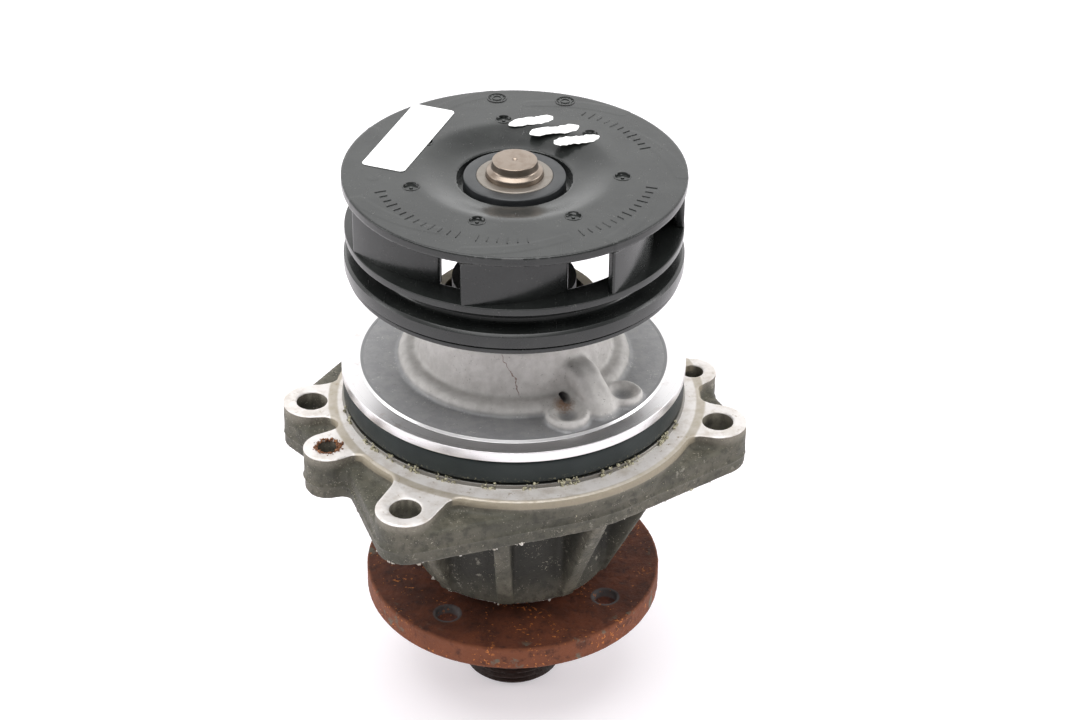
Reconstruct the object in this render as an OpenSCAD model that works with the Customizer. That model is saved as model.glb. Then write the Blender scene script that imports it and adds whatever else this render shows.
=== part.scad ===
// Mechanical water pump for an inline engine: cast housing, integral shaft bearing, face seal,
// closed impeller and a pulley hub with the threaded nose for a fan clutch.
// The origin is on the shaft axis in the plane of the mounting face. +Z points to the impeller.

/* [Impeller] */
// Outer radius of the impeller disc
disc_r = 38.65; // [38:0.05:39.2]
// Height of the disc's upper face above the mounting face
disc_top_z = 58.8; // [58.4:0.1:59.2]
// Thickness of the disc at its rim
disc_t = 2.2; // [1.8:0.1:2.6]
// Depth of the dish round the hub
dish_depth = 2.0; // [1.6:0.1:2.2]
// Number of vanes
vane_count = 7; // [5:1:8]
// Thickness of a vane
vane_t = 2.2; // [1.6:0.1:2.6]
// Angle that a vane wraps round the axis, in degrees
vane_wrap = 39; // [34:1:46]
// How fast a vane's radius falls per radian of wrap
vane_rate = 0.25; // [0.2:0.01:0.3]
// Where the first vane's tip stands, in degrees from +X
vane_start = -107; // [-130:1:-80]

/* [Shroud] */
// Outer radius of the shroud ring
shroud_r = 38.3; // [37.8:0.1:38.6]
// Inner radius of the water inlet
eye_r = 31.3; // [30.8:0.1:31.8]
// Height of the shroud ring's upper face
shroud_top_z = 45.8; // [45.6:0.1:46]
// Thickness of the shroud ring
shroud_t = 1.7; // [1.4:0.1:2]
// Height of the labyrinth ring's upper face
labyrinth_top_z = 39.5; // [39:0.1:40]
// Height of the labyrinth ring's lower face
labyrinth_low_z = 34.0; // [33.5:0.1:34.5]

/* [Housing] */
// Radius of the machined spigot
spigot_r = 40; // [39.8:0.05:40.2]
// Height of the spigot above the mounting face
spigot_h = 9.7; // [9.5:0.1:10]
// Outer radius of the flange between its ears
flange_r = 44.5; // [44:0.1:45]
// Thickness of the flange at its ears
flange_t = 11; // [10.5:0.1:11.5]
// Radius of an ear
ear_r = 6.7; // [6.5:0.1:7]
// Radius of a stud hole
stud_hole_r = 3.6; // [3.3:0.1:3.8]
// Radius of a jacking thread's bore
jack_hole_r = 2.6; // [2.5:0.05:2.8]
// Number of ribs behind the flange
rib_count = 10; // [8:1:10]
// Thickness of a rib
rib_t = 3.8; // [3:0.1:4]

/* [Pulley hub] */
// Radius of the pulley flange
hub_flange_r = 35.6; // [35:0.1:36]
// Thickness of the pulley flange
hub_flange_t = 6; // [5:0.1:6.2]
// Radius of the circle of tapped holes
tapped_circle_r = 27; // [26:0.5:28]
// Radius of a tapped hole's bore
tapped_hole_r = 2.65; // [2.5:0.05:3]
// Radius of the fan clutch thread
nose_r = 11.85; // [11.8:0.05:11.95]
// Length of the fan clutch thread
nose_h = 25; // [24:0.5:26]

/* [Bearing] */
// Radius of the shaft inside the bearing
bearing_shaft_r = 9.48; // [9.4:0.01:9.5]
// Outer radius of the bearing
bearing_r = 19; // [18.9:0.05:19]
// Inner radius of the bearing's outer ring
bearing_bore_r = 15.2; // [15.1:0.1:15.3]
// Diameter of a ball
ball_d = 7.1; // [7:0.05:7.1]
// Number of balls in a row
ball_count = 8; // [7:1:8]

/* [Shaft seal] */
// Radius of the shaft inside the seal
shaft_r = 7.96; // [7.9:0.01:8]
// Radius of the seal cup
cup_r = 18.2; // [18:0.1:18.2]
// Turns in the seal spring
spring_turns = 3; // [2:1:4]

/* [Hidden] */

round_fn = 96;
eps = 0.01;

// Stud ears and jacking bosses as [angle from +X, distance from the axis]
ears = [[186.8, 47.2], [244.1, 52.9], [345.6, 48.8], [57.4, 51.0]];
jacks = [[210, 48.3], [11.8, 43.2]];
jack_boss_r = 5.6;
pad_h = 3;
pad_r = 43.2;
pad_shift = [0.8, -2.2];
pad_web_r = 9;
web_inset = 0.03;
nut_seat_r = 6.1;
nut_seat_depth = 0.4;

// Spigot groove
groove_r = 37.2;
groove_low_z = 1.0;
groove_top_z = 7.2;
ring_gap = 0.15;
ring_round_r = 1.2;
spigot_ring_r = 36.1;
web_top_z = 10.2;

// Neck round the seal
bulge_r = 27;
bulge_tube_r = 2.6;
neck_foot_r = 22.6;
neck_foot_z = 13.4;
neck_r = 20.7;
neck_top_z = 24;
neck_round = 0.8;

// Weep bosses beside the neck
weep_angle = -49.5;
weep_ridge_r = 3.6;
weep_ridge_near = 21.9;
weep_ridge_far = 31.4;
weep_ridge_top_z = 19.6;
weep_hole_r = 1.6;
cup_bosses = [[12.4, -27.2, 5.0], [24.9, -18.2, 4.6]];
cup_boss_h = 2.6;
cup_dimple_r = 4.4;

// Bearing nose behind the flange
nose_end_z = -45.4;
nose_end_r = 23.6;
core_r = 25.6;
pocket_top_z = 4;
pocket_top_r = 33;
pocket_r = 38.4;
rib_foot_r = 24.6;
rib_root_r = 41;
rib_start = -93.5;

// Bearing
bearing_low_z = -43.4;
bearing_top_z = -5.4;
row_z = [-34, -15];
ball_pitch_r = (bearing_shaft_r + bearing_bore_r) / 2;
race_r = ball_d / 2 + 0.06;
cage_in_r = 10.9;
cage_out_r = 13.8;
cage_h = 8.6;
cage_gap = 0.15;
bearing_seal_t = 1.4;
lip_gap = 0.06;
cavity_r = 15.8;
cavity_top_z = 11;

// Shaft
shaft_low_z = -78.8;
bearing_shaft_low_z = -45.2;
bearing_shaft_top_z = -3.6;
impeller_shaft_z = 44;
impeller_shaft_r = 6.4;
shaft_end_r = 5.35;
shaft_shoulder_z = 59.5;
shaft_top_z = 61.3;
shaft_chamfer = 0.4;
centre_r = 0.8;

// Seal
slinger_z = 5.5;
slinger_r = 12.6;
slinger_t = 1;
cup_low_z = 11;
cup_t = 0.8;
cup_flange_r = 19.8;
cup_hole_r = 10.4;
bellows_in_r = 9.3;
bellows_out_r = 12.6;
carbon_low_z = 21.6;
carbon_top_z = 25.9;
carbon_in_r = 9;
carbon_out_r = 12.8;
driver_r = 13.4;
film = 0.05;
seat_t = 4;
seat_in_r = 9.2;
seat_out_r = 13.4;
boot_t = 1.4;
boot_r = 14.2;
spring_r = 15.2;
spring_wire_r = 0.7;

// Impeller hub
bush_r = 8.6;
bush_low_z = 44;
bush_top_z = 57.6;
sleeve_r = 11.5;
sleeve_low_z = 46;
sleeve_top_z = 57.4;
hub_gap_r = 13;
hub_gap_low_z = 54.2;
hub_r = 15.5;
hub_low_z = 46.5;
dish_r = 22;
dimple_circle_r = 24.1;
dimple_r = 1.7;
dimple_depth = 0.5;
dimple_start = 199.7;
disc_low_z = disc_top_z - disc_t;
dish_z = disc_top_z - dish_depth;
shroud_low_z = shroud_top_z - shroud_t;
collar_t = 2;
label_size = [10.4, 31];
label_corner_r = 1.2;
label_centre = [-24.2, 14.4];
label_turn = -20;
label_t = 0.12;

// Pulley hub
hub_flange_low_z = -55.2;
hub_flange_top_z = hub_flange_low_z + hub_flange_t;
hub_boss_r = 14.5;
hub_boss_top_z = -45.9;
hub_chamfer = 0.7;
tapped_start = -124.3;
tapped_count = 4;
nose_chamfer = 1.2;

function polar(r, a) = [r * cos(a), r * sin(a)];
function vane_r(a) = (disc_r - 0.35) * exp(-vane_rate * a * PI / 180);
// Both contact points of the tangents from a circle at distance d to one of radius big at the axis
function tangent_turn(d, small, big) = acos((big - small) / d);

// A tube about the axis between two heights
module tube(r_out, r_in, low, high) {
    translate([0, 0, low]) difference() {
        cylinder(r = r_out, h = high - low, $fn = round_fn);
        translate([0, 0, -eps]) cylinder(r = r_in, h = high - low + 2 * eps, $fn = round_fn);
    }
}

// A cylinder about an axis at p between two heights
module drum(p, r, low, high) {
    translate([p[0], p[1], low]) cylinder(r = r, h = high - low, $fn = round_fn);
}

// An outline round a circle at [angle, distance] with straight sides tangent to a disc at the axis
module tangent_web(place, small, big) {
    turn = tangent_turn(place[1], small, big);
    centre = polar(place[1], place[0]);
    end_r = small - web_inset;
    polygon([polar(big, place[0] - turn), centre + polar(end_r, place[0] - turn),
             centre + polar(end_r, place[0] + turn), polar(big, place[0] + turn), [0, 0]]);
    translate(centre) circle(r = small, $fn = round_fn);
}

// Lower part of the flange: a disc with tangent webs out to the ears and the jacking bosses
module flange_plate() {
    translate([0, 0, -flange_t]) linear_extrude(flange_t - pad_h) {
        circle(r = flange_r, $fn = round_fn);
        for (place = ears) tangent_web(place, ear_r, flange_r - web_inset);
        for (place = jacks) tangent_web(place, jack_boss_r, jack_boss_r * 2);
    }
}

// Machined pads: a land round the spigot and a pad on each ear and boss
module flange_pads() {
    translate([0, 0, -pad_h - eps]) linear_extrude(pad_h + eps) {
        translate(pad_shift) circle(r = pad_r, $fn = round_fn);
        for (place = ears) tangent_web(place, ear_r, pad_web_r);
        for (place = jacks) tangent_web(place, jack_boss_r, jack_boss_r);
    }
}

module housing_ribs() {
    for (i = [0:rib_count - 1])
        rotate([0, 0, rib_start + i * 360 / rib_count])
            translate([0, rib_t / 2, 0]) rotate([90, 0, 0]) linear_extrude(rib_t)
                polygon([[20, pocket_top_z + 1], [pocket_top_r + 1, pocket_top_z + 1],
                         [pocket_r + 1, -flange_t + 1], [rib_root_r, -flange_t + 0.5],
                         [rib_foot_r, nose_end_z + 0.8], [20, nose_end_z + 0.8]]);
}

// Solid of revolution: bearing nose, pocket behind the flange, spigot, web and neck
module housing_turned() {
    rotate_extrude($fn = round_fn)
        polygon([[0, nose_end_z], [nose_end_r - 0.8, nose_end_z], [nose_end_r, nose_end_z + 0.8],
                 [core_r, -flange_t], [core_r + 0.6, pocket_top_z], [pocket_top_r, pocket_top_z],
                 [pocket_r, -flange_t], [flange_r - 1, -flange_t], [flange_r - 1, -pad_h],
                 [spigot_r, -pad_h], [spigot_r, groove_low_z], [groove_r, groove_low_z],
                 [groove_r, groove_top_z], [spigot_r, groove_top_z], [spigot_r, spigot_h],
                 [spigot_ring_r, spigot_h], [spigot_ring_r - 0.5, web_top_z],
                 [neck_foot_r, web_top_z], [neck_foot_r, neck_foot_z],
                 [neck_r + 0.1, neck_top_z - neck_round], [neck_r - neck_round, neck_top_z],
                 [0, neck_top_z]]);
}

// Half-round bulge where the neck meets the web
module neck_bulge() {
    rotate_extrude($fn = round_fn) intersection() {
        translate([bulge_r - bulge_tube_r, web_top_z]) circle(r = bulge_tube_r, $fn = 48);
        translate([0, web_top_z - 1]) square([bulge_r + 1, bulge_tube_r + 2]);
    }
    tube(bulge_r - bulge_tube_r, neck_foot_r - 1, web_top_z - 1, web_top_z + bulge_tube_r);
}

// Sloping ridge over the weep passage, with a cored cup on each side of it
module weep_bosses() {
    hull()
        for (end = [[weep_ridge_near, weep_ridge_top_z], [weep_ridge_far, web_top_z + 0.4]])
            translate([polar(end[0], weep_angle)[0], polar(end[0], weep_angle)[1], web_top_z - 1])
                cylinder(r = weep_ridge_r, h = end[1] - web_top_z + 1, $fn = 32);
    for (b = cup_bosses) drum(b, b[2], web_top_z - 1, web_top_z + cup_boss_h);
}

module housing() {
    color([0.72, 0.71, 0.68]) difference() {
        union() {
            housing_turned();
            neck_bulge();
            weep_bosses();
            flange_plate();
            flange_pads();
            housing_ribs();
        }
        drum([0, 0], bearing_r, nose_end_z - 1, bearing_top_z);
        drum([0, 0], cavity_r, bearing_top_z - eps, cavity_top_z + eps);
        drum([0, 0], cup_r, cavity_top_z, neck_top_z + 1);
        for (b = cup_bosses)
            translate([b[0], b[1], web_top_z + cup_boss_h + cup_dimple_r - 1.9]) sphere(r = cup_dimple_r, $fn = 48);
        for (place = ears) {
            drum(polar(place[1], place[0]), stud_hole_r, -flange_t - 1, 1);
            drum(polar(place[1], place[0]), nut_seat_r, -flange_t - 1, -flange_t + nut_seat_depth);
        }
        for (place = jacks) drum(polar(place[1], place[0]), jack_hole_r, -flange_t - 1, 1);
        rotate([0, 0, weep_angle - 12]) translate([cavity_r - 1, 0, 8.4]) rotate([0, 68, 0])
            cylinder(r = weep_hole_r, h = 16, $fn = 32);
    }
}

// Rubber ring held in the spigot groove, flush with the spigot
module spigot_seal_ring() {
    low = groove_low_z + ring_gap;
    high = groove_top_z - ring_gap;
    out = spigot_r - 0.15;
    in = groove_r + ring_gap;
    color([0.06, 0.07, 0.07]) rotate_extrude($fn = round_fn) {
        translate([in, low]) square([out - ring_round_r - in, high - low]);
        translate([out - ring_round_r - eps, low + ring_round_r])
            square([ring_round_r + eps, high - low - 2 * ring_round_r]);
        for (z = [low + ring_round_r, high - ring_round_r])
            translate([out - ring_round_r, z]) circle(r = ring_round_r, $fn = 48);
    }
}

module ball_race(z) {
    rotate_extrude($fn = round_fn) translate([ball_pitch_r, z]) circle(r = race_r, $fn = 48);
}

module bearing_outer_ring() {
    color([0.62, 0.63, 0.65]) difference() {
        tube(bearing_r, bearing_bore_r, bearing_low_z, bearing_top_z);
        for (z = row_z) ball_race(z);
    }
}

module ball_ring(z, d) {
    for (i = [0:ball_count - 1])
        rotate([0, 0, i * 360 / ball_count]) translate([ball_pitch_r, 0, z]) sphere(d = d, $fn = 48);
}

module bearing_balls_pulley_side() {
    color([0.8, 0.8, 0.82]) ball_ring(row_z[0], ball_d);
}

module bearing_balls_impeller_side() {
    color([0.8, 0.8, 0.82]) ball_ring(row_z[1], ball_d);
}

module ball_cage(z) {
    difference() {
        tube(cage_out_r, cage_in_r, z - cage_h / 2, z + cage_h / 2);
        ball_ring(z, ball_d + 2 * cage_gap);
    }
}

module bearing_cage_pulley_side() {
    color([0.25, 0.2, 0.15]) ball_cage(row_z[0]);
}

module bearing_cage_impeller_side() {
    color([0.25, 0.2, 0.15]) ball_cage(row_z[1]);
}

module bearing_seal_pulley_side() {
    color([0.15, 0.15, 0.15])
        tube(bearing_bore_r, bearing_shaft_r + lip_gap, bearing_low_z, bearing_low_z + bearing_seal_t);
}

module bearing_seal_impeller_side() {
    color([0.15, 0.15, 0.15])
        tube(bearing_bore_r, bearing_shaft_r + lip_gap, bearing_top_z - bearing_seal_t, bearing_top_z);
}

module shaft() {
    color([0.5, 0.44, 0.38]) difference() {
        rotate_extrude($fn = round_fn)
            polygon([[0, shaft_low_z], [shaft_r - shaft_chamfer, shaft_low_z],
                     [shaft_r, shaft_low_z + shaft_chamfer], [shaft_r, bearing_shaft_low_z],
                     [bearing_shaft_r, bearing_shaft_low_z], [bearing_shaft_r, bearing_shaft_top_z],
                     [shaft_r, bearing_shaft_top_z], [shaft_r, impeller_shaft_z],
                     [impeller_shaft_r, impeller_shaft_z], [impeller_shaft_r, shaft_shoulder_z],
                     [shaft_end_r + 0.2, shaft_shoulder_z + 0.6], [shaft_end_r, shaft_top_z - 0.6],
                     [shaft_end_r - shaft_chamfer, shaft_top_z], [0, shaft_top_z]]);
        for (z = row_z) ball_race(z);
        translate([0, 0, shaft_top_z - centre_r]) cylinder(r1 = 0.1, r2 = centre_r, h = centre_r + eps, $fn = 32);
        translate([0, 0, shaft_low_z - eps]) cylinder(r1 = 2, r2 = 0.1, h = 3, $fn = 32);
    }
}

// Washer that throws leaked coolant outwards, pressed on the shaft
module slinger() {
    color([0.7, 0.7, 0.7]) rotate_extrude($fn = round_fn)
        polygon([[shaft_r, slinger_z - 2.4], [shaft_r + 0.9, slinger_z - 2.4], [shaft_r + 0.9, slinger_z],
                 [slinger_r, slinger_z + 1.2], [slinger_r, slinger_z + 1.2 + slinger_t],
                 [shaft_r, slinger_z + slinger_t]]);
}

module seal_cup() {
    color([0.75, 0.62, 0.35]) rotate_extrude($fn = round_fn)
        polygon([[cup_hole_r, cup_low_z], [cup_r, cup_low_z], [cup_r, neck_top_z],
                 [cup_flange_r, neck_top_z], [cup_flange_r, neck_top_z + cup_t],
                 [cup_r - cup_t, neck_top_z + cup_t], [cup_r - cup_t, cup_low_z + cup_t],
                 [cup_hole_r, cup_low_z + cup_t]]);
}

// Rubber bellows between the cup's floor and the carbon ring
module seal_bellows() {
    low = cup_low_z + cup_t;
    mid = (low + carbon_low_z) / 2;
    color([0.1, 0.1, 0.1]) rotate_extrude($fn = round_fn)
        polygon([[cup_hole_r, low], [bellows_out_r + 1, low], [bellows_out_r + 1, low + 1],
                 [bellows_out_r - 1, low + 1.4], [bellows_out_r + 0.8, mid],
                 [bellows_out_r - 1, carbon_low_z - 1.4], [bellows_out_r - 1, carbon_low_z],
                 [bellows_in_r, carbon_low_z], [bellows_in_r, carbon_low_z - 1.8],
                 [bellows_in_r + 1.6, mid], [cup_hole_r, low + 1.4]]);
}

// Helical wire round the bellows, swept as rings of points
module seal_spring() {
    low = cup_low_z + cup_t + spring_wire_r + 0.2;
    high = carbon_low_z + 0.6;
    steps = 24 * spring_turns;
    sides = 8;
    rings = [for (i = [0:steps]) [for (k = [0:sides - 1])
        let (a = i * 360 * spring_turns / steps, b = k * 360 / sides, r = spring_r + spring_wire_r * cos(b))
        [r * cos(a), r * sin(a), low + (high - low) * i / steps + spring_wire_r * sin(b)]]];
    points = [for (ring = rings) each ring];
    walls = [for (i = [0:steps - 1], k = [0:sides - 1])
        [i * sides + k, (i + 1) * sides + k, (i + 1) * sides + (k + 1) % sides, i * sides + (k + 1) % sides]];
    start_cap = [[for (k = [0:sides - 1]) k]];
    end_cap = [[for (k = [sides - 1:-1:0]) steps * sides + k]];
    color([0.7, 0.7, 0.72]) polyhedron(points, concat(walls, start_cap, end_cap), convexity = 8);
}

// Metal shell that grips the bellows and drives the carbon ring
module seal_driver() {
    color([0.72, 0.7, 0.66]) rotate_extrude($fn = round_fn)
        polygon([[carbon_out_r, carbon_low_z - 1.2], [driver_r, carbon_low_z - 1.2],
                 [driver_r, carbon_low_z + 1.5], [spring_r + 1, carbon_low_z + 1.5],
                 [spring_r + 1, carbon_low_z + 2.1], [carbon_out_r, carbon_low_z + 2.1]]);
}

module carbon_ring() {
    color([0.12, 0.12, 0.13]) rotate_extrude($fn = round_fn)
        polygon([[carbon_in_r, carbon_low_z], [carbon_out_r, carbon_low_z], [carbon_out_r, carbon_top_z - 1],
                 [carbon_out_r - 1.4, carbon_top_z - 1], [carbon_out_r - 1.4, carbon_top_z],
                 [carbon_in_r + 0.5, carbon_top_z], [carbon_in_r, carbon_top_z - 0.5]]);
}

module seal_seat() {
    color([0.9, 0.9, 0.86])
        tube(seat_out_r, seat_in_r, carbon_top_z + film, carbon_top_z + film + seat_t);
}

// Rubber boot that holds the seat on the shaft
module seat_boot() {
    low = carbon_top_z + film + 0.6;
    high = carbon_top_z + film + seat_t;
    color([0.08, 0.08, 0.08]) rotate_extrude($fn = round_fn)
        polygon([[shaft_r, low], [seat_in_r, low], [seat_in_r, high], [seat_out_r, high],
                 [seat_out_r, low + 1], [boot_r, low + 1], [boot_r, high + boot_t], [shaft_r, high + boot_t]]);
}

module impeller_bush() {
    color([0.8, 0.79, 0.76]) tube(bush_r, impeller_shaft_r, bush_low_z, bush_top_z);
}

module impeller_sleeve() {
    color([0.2, 0.21, 0.22]) tube(sleeve_r, bush_r, sleeve_low_z, sleeve_top_z);
}

// One backward-curved vane, from the disc's rim in to the eye
module vane() {
    steps = 12;
    outer = [for (i = [0:steps]) let (a = vane_wrap * i / steps) polar(vane_r(a), a)];
    inner = [for (i = [steps:-1:0]) let (a = vane_wrap * i / steps)
        polar(vane_r(a) - vane_t * (1 - 0.3 * i / steps), a + 1.2)];
    translate([0, 0, shroud_top_z]) linear_extrude(disc_low_z - shroud_top_z + 0.5)
        polygon(concat(outer, inner));
}

module impeller() {
    color([0.09, 0.1, 0.1]) difference() {
        union() {
            rotate_extrude($fn = round_fn)
                polygon([[sleeve_r, hub_low_z], [hub_r - 1, hub_low_z], [hub_r, disc_low_z - 4],
                         [hub_r + 4, disc_low_z - 0.8], [dish_r + 2, disc_low_z], [disc_r - 0.3, disc_low_z],
                         [disc_r, disc_low_z + 0.3], [disc_r, disc_top_z - 0.3], [disc_r - 0.3, disc_top_z],
                         [dish_r, disc_top_z], [hub_gap_r, dish_z], [hub_gap_r, hub_gap_low_z],
                         [sleeve_r, hub_gap_low_z]]);
            for (i = [0:vane_count - 1]) rotate([0, 0, vane_start + i * 360 / vane_count]) vane();
        }
        for (i = [0:vane_count - 1])
            drum(polar(dimple_circle_r, dimple_start + i * 360 / vane_count), dimple_r,
                 disc_top_z - dimple_depth, disc_top_z + 1);
    }
}

// Shroud ring, inlet collar and the stepped labyrinth ring in one moulding
module impeller_shroud() {
    collar_r = eye_r + collar_t;
    color([0.1, 0.11, 0.11]) rotate_extrude($fn = round_fn)
        polygon([[eye_r, labyrinth_low_z], [shroud_r - 0.9, labyrinth_low_z], [shroud_r - 0.2, labyrinth_low_z + 0.6],
                 [shroud_r - 0.2, labyrinth_low_z + 1.5], [shroud_r - 0.6, labyrinth_low_z + 1.6],
                 [shroud_r - 0.6, labyrinth_low_z + 2], [shroud_r + 0.3, labyrinth_low_z + 2.1],
                 [shroud_r + 0.3, labyrinth_top_z - 0.6], [shroud_r - 0.3, labyrinth_top_z],
                 [collar_r, labyrinth_top_z], [collar_r, shroud_low_z], [shroud_r, shroud_low_z],
                 [shroud_r, shroud_top_z], [eye_r + 0.4, shroud_top_z], [eye_r, shroud_top_z - 0.4]]);
}

// Blank sticker with rounded corners on the disc
module impeller_label() {
    half = label_size / 2 - [label_corner_r, label_corner_r];
    color([0.95, 0.95, 0.95]) translate([label_centre[0], label_centre[1], disc_top_z])
        rotate([0, 0, label_turn]) linear_extrude(label_t) {
            square([label_size[0], 2 * half[1]], center = true);
            square([2 * half[0], label_size[1]], center = true);
            for (x = [-half[0], half[0]], y = [-half[1], half[1]])
                translate([x, y]) circle(r = label_corner_r, $fn = 32);
        }
}

// Pulley flange with four tapped holes, and the hollow nose that carries the fan clutch thread
module pulley_hub() {
    nose_low_z = hub_flange_low_z - nose_h;
    color([0.4, 0.22, 0.14]) difference() {
        rotate_extrude($fn = round_fn)
            polygon([[shaft_r, nose_low_z], [nose_r - nose_chamfer, nose_low_z],
                     [nose_r, nose_low_z + nose_chamfer], [nose_r, hub_flange_low_z],
                     [hub_flange_r - hub_chamfer, hub_flange_low_z],
                     [hub_flange_r, hub_flange_low_z + hub_chamfer],
                     [hub_flange_r, hub_flange_top_z - hub_chamfer],
                     [hub_flange_r - hub_chamfer, hub_flange_top_z], [hub_boss_r, hub_flange_top_z],
                     [hub_boss_r, hub_boss_top_z], [shaft_r, hub_boss_top_z]]);
        for (i = [0:tapped_count - 1])
            drum(polar(tapped_circle_r, tapped_start + i * 360 / tapped_count), tapped_hole_r,
                 hub_flange_low_z - 1, hub_flange_top_z + 1);
    }
}

housing();
spigot_seal_ring();
bearing_outer_ring();
bearing_balls_pulley_side();
bearing_balls_impeller_side();
bearing_cage_pulley_side();
bearing_cage_impeller_side();
bearing_seal_pulley_side();
bearing_seal_impeller_side();
shaft();
slinger();
seal_cup();
seal_bellows();
seal_spring();
seal_driver();
carbon_ring();
seal_seat();
seat_boot();
impeller_bush();
impeller_sleeve();
impeller();
impeller_shroud();
impeller_label();
pulley_hub();
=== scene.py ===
"""Water pump: materials, cast and moulded detail, camera and light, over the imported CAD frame."""

import math

import bmesh
import bpy
import numpy as np
from mathutils import Matrix, Vector


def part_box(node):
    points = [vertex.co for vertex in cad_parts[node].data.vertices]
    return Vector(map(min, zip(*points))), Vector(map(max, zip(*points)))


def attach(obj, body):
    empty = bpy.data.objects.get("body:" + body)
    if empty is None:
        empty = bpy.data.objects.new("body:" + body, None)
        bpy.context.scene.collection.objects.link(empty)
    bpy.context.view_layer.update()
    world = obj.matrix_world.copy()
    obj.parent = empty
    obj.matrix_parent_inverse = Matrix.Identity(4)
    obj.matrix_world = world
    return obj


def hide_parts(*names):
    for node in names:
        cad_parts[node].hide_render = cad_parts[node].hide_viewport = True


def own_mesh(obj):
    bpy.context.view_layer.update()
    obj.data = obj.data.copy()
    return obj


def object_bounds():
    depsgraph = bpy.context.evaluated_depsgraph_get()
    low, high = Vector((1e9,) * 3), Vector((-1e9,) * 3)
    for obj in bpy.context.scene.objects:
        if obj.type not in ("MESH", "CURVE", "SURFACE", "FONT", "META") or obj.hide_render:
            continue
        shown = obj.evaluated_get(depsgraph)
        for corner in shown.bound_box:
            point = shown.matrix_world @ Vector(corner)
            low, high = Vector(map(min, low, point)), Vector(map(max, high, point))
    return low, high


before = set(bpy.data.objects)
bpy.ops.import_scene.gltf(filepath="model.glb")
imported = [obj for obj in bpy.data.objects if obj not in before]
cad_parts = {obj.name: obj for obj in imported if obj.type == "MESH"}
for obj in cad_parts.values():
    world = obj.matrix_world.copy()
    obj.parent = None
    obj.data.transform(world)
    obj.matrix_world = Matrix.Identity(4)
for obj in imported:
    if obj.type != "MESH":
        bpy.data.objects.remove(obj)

CAD_LOW, CAD_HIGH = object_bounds()
MM = 0.001
FIELD_MARGIN = 1.2  # how far past a node's box its field is sampled, in millimetres


def cad_mm(node):
    """A CAD node's lowest and highest corner in millimetres."""
    low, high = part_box(node)
    return [c / MM for c in low], [c / MM for c in high]


# ---------------------------------------------------------------- sizes, in millimetres
# Impeller
DISC_R = cad_mm("impeller")[1][0]
DISC_TOP = cad_mm("impeller")[1][2]
DISC_T = 2.2
DISH_R, DISH_DEPTH = 22.0, 2.0
VANES, VANE_T, VANE_WRAP, VANE_RATE, VANE_START = 7, 2.2, 39.0, 0.25, -107.0
DIMPLE_CIRCLE_R, DIMPLE_R, DIMPLE_START = 24.1, 1.7, 199.7
TICK_CIRCLE_R = 31.2
HUB_LOW = cad_mm("impeller_sleeve")[0][2] + 0.5
SLEEVE_R = cad_mm("impeller_sleeve")[1][0]
GAP_R, GAP_LOW, HUB_R = 13.0, 54.2, 15.5

LABEL_SIZE, LABEL_TURN, LABEL_T = (10.4, 31.0), -20.0, 0.11

# Shroud
SHROUD_R = cad_mm("impeller_shroud")[1][0] - 0.3
SHROUD_TOP = cad_mm("impeller_shroud")[1][2]
SHROUD_T, EYE_R, COLLAR_T = 1.7, 31.3, 2.0
LABYRINTH_LOW = cad_mm("impeller_shroud")[0][2]
LABYRINTH_TOP = LABYRINTH_LOW + 5.5

# Housing
SPIGOT_R, SPIGOT_TOP, WEB_TOP = 40.0, 9.7, 10.2
RING_R, WEB_R, RIM_CORE_R = 36.1, 35.0, 36.6
PARTING_Z, PARTING_H = -7.4, 0.28
GROOVE_R, GROOVE_LOW, GROOVE_TOP = 37.2, 1.0, 7.2
FLANGE_R, FLANGE_LOW, PAD_LOW = 44.5, -11.0, -3.0
EAR_R, JACK_R = 6.7, 5.6
EARS = [(186.8, 47.2), (244.1, 52.9), (345.6, 48.8), (57.4, 51.0)]
JACKS = [(210.0, 48.3), (11.8, 43.2)]
PAD_R, PAD_SHIFT, PAD_WEB_R = 43.2, (0.8, -2.2), 9.0
STUD_R, JACK_HOLE_R, SEAT_R = 3.6, 2.6, 6.1
BULGE_R, BULGE_TUBE = 27.0, 2.6
NECK_FOOT_R, NECK_FOOT_Z, NECK_R, NECK_TOP = 22.6, 13.4, 20.7, 24.0
WEEP_ANGLE, WEEP_R, WEEP_CREST, WEEP_END = -49.5, 3.6, (25.5, 19.6), (35.3, 10.4)
CUPS = [(12.4, -27.2, 5.0), (24.9, -18.2, 4.6)]
NOSE_LOW = cad_mm("housing")[0][2]
NOSE_R, CORE_R = 23.6, 25.6
POCKET_TOP, POCKET_TOP_R, POCKET_R = 4.0, 33.0, 38.4
RIBS, RIB_T, RIB_START, RIB_FOOT_R, RIB_ROOT_R = 10, 3.8, -93.5, 24.6, 41.0
BEARING_R, CAVITY_R, CUP_R = 19.0, 15.8, 18.2
BEARING_TOP, CAVITY_TOP = -5.4, 11.0
CUP_H, CUP_BALL_R = 2.6, 4.4
WEEP_HOLE_R, WEEP_STAIN = 1.1, (11.6, -24.4, 13.0)
CRACK_Z, CRACK_LEAN = 18.0, 0.45

# Shaft and shaft seal
SHAFT_R, BEARING_SHAFT_R, BUSH_SEAT_R, SHAFT_END_R = 7.96, 9.48, 6.4, 5.05
BEARING_END_LOW, BEARING_END_TOP, BUSH_SEAT_Z = -45.2, -3.6, 44.0
CUP_HOLE_R, BELLOWS_IN_R, BELLOWS_OUT_R = 10.4, 9.3, 12.6
SEAL_TRAVEL, SPRING_WIRE_R, SPRING_TURNS, SPRING_STEPS, WIRE_SIDES = 0.8, 0.7, 3, 60, 12

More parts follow.
